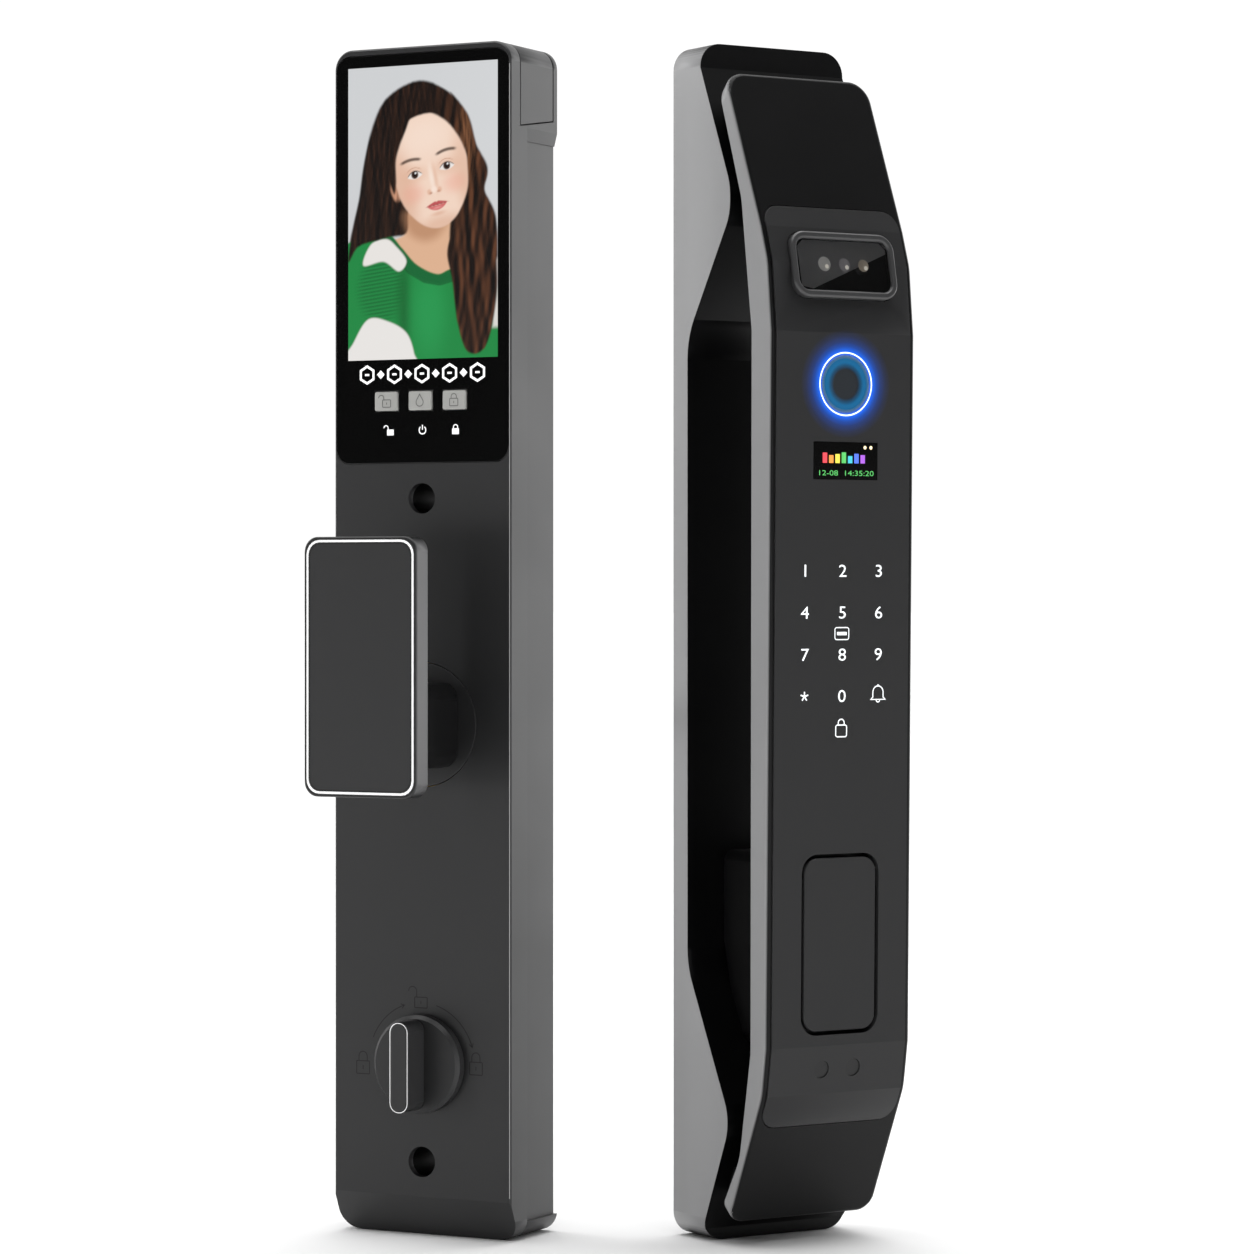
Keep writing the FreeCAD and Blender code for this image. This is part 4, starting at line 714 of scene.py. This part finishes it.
# neck and shoulders
neck = curve([(25, 48), (39, 48), (40, 60), (42, 72), (35, 76), (24, 74), (14, 62), (23, 57)], 80)
blend(inside(X, Y, neck, 1.2), tone("#e2b594"))
blend(inside(X, Y, curve([(23, 50), (38, 52), (36, 58), (30, 60), (24, 57)], 50), 5.0),
      tone("#b98664"), 0.75)
# sweater
knit = curve([(-3, 64), (8, 59), (16, 57.5), (21, 62), (27, 68), (35, 71.5), (41, 70), (50, 72),
              (61, 80), (62, 104), (-4, 104)], 160)
knit_mask = inside(X, Y, knit, 0.9)
blend(knit_mask, tone("#1f8a44"))
ribs = 0.5 + 0.5 * np.sin((Y + 0.12 * X) * 6.28 / 1.25)
blend(knit_mask * blob(X, Y, 13, 76, 9, 11, 5) * ribs, tone("#10572a"), 0.6)
blend(knit_mask * blob(X, Y, 22, 84, 2.2, 22, 5), tone("#14652f"), 0.8)
blend(knit_mask * blob(X, Y, 32, 84, 6, 14, 9), tone("#2ba257"), 0.6)
neckline = np.array([(14, 57.5), (18, 59.5), (21.5, 63.5), (26, 68), (31, 70.8), (36, 71.7),
                     (41, 70.5)], float)
trail = gap_to(X, Y, neckline, neckline[1:])
collar = knit_mask * soft(trail - 3.2, 0.7)
blend(collar, tone("#17713a"))
blend(collar * (0.5 + 0.5 * np.sin((X - 0.5 * Y) * 6.28 / 0.9)), tone("#0e4f26"), 0.55)
blend(knit_mask * soft(np.abs(trail - 3.4) - 0.15, 0.5), tone("#0c4220"), 0.8)
blend(inside(X, Y, curve([(9, 60.5), (15, 58.8), (19, 61.5), (23, 66.5), (20, 70), (14, 66.5),
                          (6, 67.5)], 60), 0.9), tone("#ece8e4"))
blend(inside(X, Y, curve([(8, 86), (16, 87), (23, 91), (26, 98), (26, 104), (-3, 104), (2, 94)],
                         60), 0.9), tone("#ece9e6"))
blend(inside(X, Y, [(55.5, 68), (60, 66), (60, 90), (56.5, 90)], 2.0), tone("#e9e4e0"), 0.9)

# the head, in axes that tilt with it: s to the head's left, t down from the crown
TILT = math.radians(-12)
HEAD, SCALE = (32.3, 35.0), 1.18
s = ((X - HEAD[0]) * math.cos(TILT) + (Y - HEAD[1]) * math.sin(TILT)) / SCALE
t = (-(X - HEAD[0]) * math.sin(TILT) + (Y - HEAD[1]) * math.cos(TILT)) / SCALE
chin = curve([(0, -15.5), (9.5, -12.5), (12.2, -4), (12.0, 3), (10.4, 9.5), (5.8, 15.6), (0, 17.8),
              (-5.8, 15.6), (-10.4, 9.5), (-12.0, 3), (-12.2, -4), (-9.5, -12.5)], 120)
face_mask = inside(s, t, chin, 0.8)
blend(blob(s, t, -12.4, 3.4, 1.7, 3.6, 0.8), tone("#d69d7e"))
blend(face_mask, tone("#f6d9c6"))
blend(face_mask * blob(s, t, -10.5, 5, 4.2, 13, 6), tone("#d9a283"), 0.55)
blend(face_mask * blob(s, t, 11.0, 6, 3.4, 12, 5), tone("#dca98b"), 0.5)
blend(face_mask * blob(s, t, 0, 17.5, 8, 3, 4), tone("#d8a283"), 0.5)
blend(face_mask * blob(s, t, 0, -9, 7.5, 5, 8), tone("#fae3d3"), 0.7)
for side in (-1, 1):
    mid = side * 5.4    # the middle of the eye
    blend(face_mask * blob(s, t, side * 6.9, 6.2, 3.2, 2.6, 4), tone("#efab97"), 0.45)
    blend(face_mask * blob(s, t, mid, 1.0, 3.6, 2.2, 3), tone("#e2b094"), 0.45)
    eye = curve([(mid - 2.45, 1.25), (mid - 1.2, 0.2), (mid, -0.15),
                 (mid + 1.2, 0.2), (mid + 2.45, 1.25), (mid + 1.2, 1.95),
                 (mid, 2.15), (mid - 1.2, 1.95)], 40)
    eye_mask = inside(s, t, eye, 0.45)
    blend(eye_mask, tone("#f2ece8"))
    blend(eye_mask * blob(s, t, mid, 0.95, 1.15, 1.15, 0.4), tone("#3a241a"))
    blend(eye_mask * blob(s, t, mid, 0.95, 0.5, 0.5, 0.3), tone("#0a0606"))
    blend(blob(s, t, mid + 0.35, 0.5, 0.28, 0.28, 0.25), tone("#ffffff"))
    lid = np.abs(t - (-0.1 + 0.22 * (s - mid) ** 2))
    blend(soft(lid - 0.16, 0.35) * blob(s, t, mid, 0.4, 2.7, 1.4, 0.5), tone("#24140e"), 0.9)
    fold = np.abs(t - (-1.1 + 0.16 * (s - mid) ** 2))
    blend(soft(fold - 0.1, 0.3) * blob(s, t, mid, -0.6, 2.4, 1.2, 0.8), tone("#b57f62"), 0.7)
    brow = np.abs(t - (-3.6 + 0.05 * (s - side * 6.2) ** 2)) - 0.45
    blend(soft(brow, 0.6) * blob(s, t, side * 5.9, -3.5, 3.4, 1.6, 0.8), tone("#3c261b"), 0.85)
    blend(blob(s, t, side * 1.35, 7.4, 0.5, 0.32, 0.5), tone("#9a5f49"), 0.75)
    blend(blob(s, t, side * 1.75, 7.0, 0.7, 0.8, 0.8), tone("#dfa88b"), 0.6)
blend(blob(s, t, 0.95, 3.4, 0.7, 3.2, 1.4), tone("#e2b196"), 0.6)
blend(blob(s, t, -0.1, 3.2, 0.7, 3.0, 1.4), tone("#fff0e4"), 0.6)
blend(blob(s, t, 0, 6.6, 0.9, 0.8, 1.0), tone("#ffeadd"), 0.7)
upper = curve([(-3.5, 11.0), (-1.6, 10.35), (-0.5, 10.1), (0, 10.3), (0.5, 10.1), (1.6, 10.35),
               (3.5, 11.0), (1.6, 11.15), (0, 11.2), (-1.6, 11.15)], 60)
lower = curve([(-3.3, 11.05), (-1.6, 11.25), (0, 11.3), (1.6, 11.25), (3.3, 11.05), (2.0, 12.2),
               (0, 12.7), (-2.0, 12.2)], 60)
blend(inside(s, t, upper, 0.4), tone("#c25658"))
blend(inside(s, t, lower, 0.4), tone("#d56f6e"))
blend(soft(np.abs(t - 11.15) - 0.06, 0.25) * blob(s, t, 0, 11.1, 3.4, 0.5, 0.4), tone("#7b2f30"))
blend(blob(s, t, 0, 12.0, 1.3, 0.28, 0.5), tone("#f0a6a2"), 0.6)
blend(blob(s, t, 0, 13.7, 2.0, 0.5, 0.9), tone("#d9a184"), 0.5)

# hair in front of the head: a parting at the crown, two falls that frame the face
crown = curve([(-13.5, 4), (-14.5, -8), (-10, -19), (0, -24), (10, -20), (15, -9), (14.6, 3),
               (13.3, 4), (11.4, -5), (7, -12.5), (-1.0, -17.0), (-6, -12), (-10.5, -5),
               (-12, 2)], 120)
left_fall = curve([(15, 22), (23, 12), (19.5, 24), (17, 34), (15.8, 44), (19, 52), (19, 57),
                   (12, 59), (4, 61), (0, 66), (2, 54), (4.5, 44), (6, 34), (9, 24)], 120)
right_fall = curve([(40, 10), (47, 18), (50.5, 29), (54.5, 37), (53.5, 44), (57.5, 53), (58, 66),
                    (58, 80), (54, 96), (47, 98), (43, 88), (41, 74), (39, 64), (42, 55), (46, 47),
                    (48.5, 38), (48, 28), (45, 20)], 160)
front_hair = np.maximum.reduce([inside(s, t, crown, 0.9), inside(X, Y, left_fall, 1.0),
                                inside(X, Y, right_fall, 1.0)])
blend(front_hair, tone("#160e0b"))
light_side = np.clip((X - 34) / 12, 0, 1)
shade = strands(X, Y, 4.5, 2.0, 4)
fine = strands(X, Y, 1.3, 1.6, 9)
all_hair = np.maximum(front_hair, hair_mask * (1 - face_mask) * (1 - inside(X, Y, neck, 1.0))
                      * (1 - knit_mask))
blend(all_hair * shade ** 2 * (0.12 + 0.88 * light_side), tone("#6d432c"), 0.85)
blend(all_hair * fine ** 3, tone("#4a2e20"), 0.5)
blend(all_hair * blob(X, Y, 46.5, 27, 2.6, 12, 4) * fine, tone("#a8714c"), 0.7)
blend(all_hair * (1 - shade) ** 3, tone("#0c0706"), 0.7)

# %% Put the picture on the screen
points = [inner_face(SCREEN_WEST + x, SCREEN_TOP - y, 0.03) for x, y in zip(X.ravel(), Y.ravel())]
grid = np.arange(LINES * COLS).reshape(LINES, COLS)
quads = np.stack([grid[1:, :-1], grid[1:, 1:], grid[:-1, 1:], grid[:-1, :-1]], -1).reshape(-1, 4)
mesh = bpy.data.meshes.new("visitor_picture")
mesh.from_pydata(points, [], quads.tolist())
colours = mesh.color_attributes.new("picture", "FLOAT_COLOR", "POINT")
colours.data.foreach_set("color", np.concatenate(
    [canvas.reshape(-1, 3), np.ones((LINES * COLS, 1))], 1).astype(np.float32).ravel())
screen_light, tree, shader = material("lit screen", "#000000", 0.2)
source = node(tree, "ShaderNodeVertexColor", {"layer_name": "picture"})
tree.links.new(source.outputs["Color"], shader.inputs["Emission Color"])
shader.inputs["Emission Strength"].default_value = 0.95
add_piece("visitor_picture", mesh, screen_light, "root")

# %% [markdown]
# ## Floor, light and camera
# The set is a pale floor under an even top light, with a white cyclorama behind the cases and a
# darker room in front of them. The dark room keeps the fronts deep black, while the sides, which
# look back past the cases, mirror the white. The sky's brightness depends only on its own
# direction: dark towards -Y, white towards +Y.

# %% Floor and sky
def make_floor():
    """A wide pale plane just under the feet."""
    mesh = bpy.data.meshes.new("floor")
    reach, drop = 40.0, -0.0002    # metres
    mesh.from_pydata([(-reach, -reach, drop), (reach, -reach, drop), (reach, reach, drop),
                      (-reach, reach, drop)], [], [(0, 1, 2, 3)])
    floor = bpy.data.objects.new("floor", mesh)
    bpy.context.collection.objects.link(floor)
    wear(floor, plain("matt white studio floor", "#f4f4f4", 0.9))


make_floor()
sky = bpy.data.worlds.new("studio sky")
bpy.context.scene.world = sky
sky.use_nodes = True
tree = sky.node_tree
aim = node(tree, "ShaderNodeTexCoord")
parts = node(tree, "ShaderNodeSeparateXYZ", Vector=aim.outputs["Generated"])
back = node(tree, "ShaderNodeMapRange", {"interpolation_type": "SMOOTHSTEP"},
            Value=parts.outputs["Y"], From_Min=-0.25, From_Max=0.5, To_Min=0.06, To_Max=1.05)
tree.nodes["Background"].inputs["Color"].default_value = (1, 1, 1, 1)
tree.links.new(back.outputs["Result"], tree.nodes["Background"].inputs["Strength"])
bpy.context.scene.view_settings.view_transform = "Standard"

# %% Lamps
MIDDLE = (0.0, 0.0, 0.2)    # the point that the lamps look at


def softbox(name, place, width, height, watts):
    """A rectangular lamp that looks at the middle of the set."""
    data = bpy.data.lights.new(name, "AREA")
    data.shape = "RECTANGLE"
    data.size, data.size_y = width, height
    data.energy = watts
    lamp = bpy.data.objects.new(name, data)
    lamp.location = place
    lamp.rotation_euler = (Vector(MIDDLE) - Vector(place)).to_track_quat("-Z", "Y").to_euler()
    bpy.context.collection.objects.link(lamp)


def top_light():
    """An even light from straight above, which whitens the floor up to the horizon."""
    data = bpy.data.lights.new("top light", "SUN")
    data.energy, data.angle = 2.6, math.radians(70)
    lamp = bpy.data.objects.new("top light", data)
    lamp.location = (0, 0, 3)
    bpy.context.collection.objects.link(lamp)


top_light()
softbox("left box", (-1.6, 0.9, 0.35), 0.8, 1.6, 14)
softbox("right box", (1.5, 1.1, 0.4), 0.6, 1.4, 6)
# narrow strips that catch the edges
softbox("left strip", (-1.7, -0.42, 0.3), 0.12, 1.5, 3.0)
softbox("right strip", (0.95, -1.6, 0.3), 0.05, 1.4, 3.5)

# %% Camera
EYE = (0.0056, -1.4412, 0.2195)
LENS_MM, SENSOR_MM = 121.04, 36.0


def make_camera():
    """A long lens looking level along +Y, with the frame moved down a little by shift."""
    data = bpy.data.cameras.new("camera")
    data.sensor_width = SENSOR_MM
    data.lens = LENS_MM
    data.shift_y = -0.0295
    camera = bpy.data.objects.new("camera", data)
    camera.location = EYE
    camera.rotation_euler = (math.radians(90), 0, 0)
    bpy.context.collection.objects.link(camera)
    bpy.context.scene.camera = camera


make_camera()
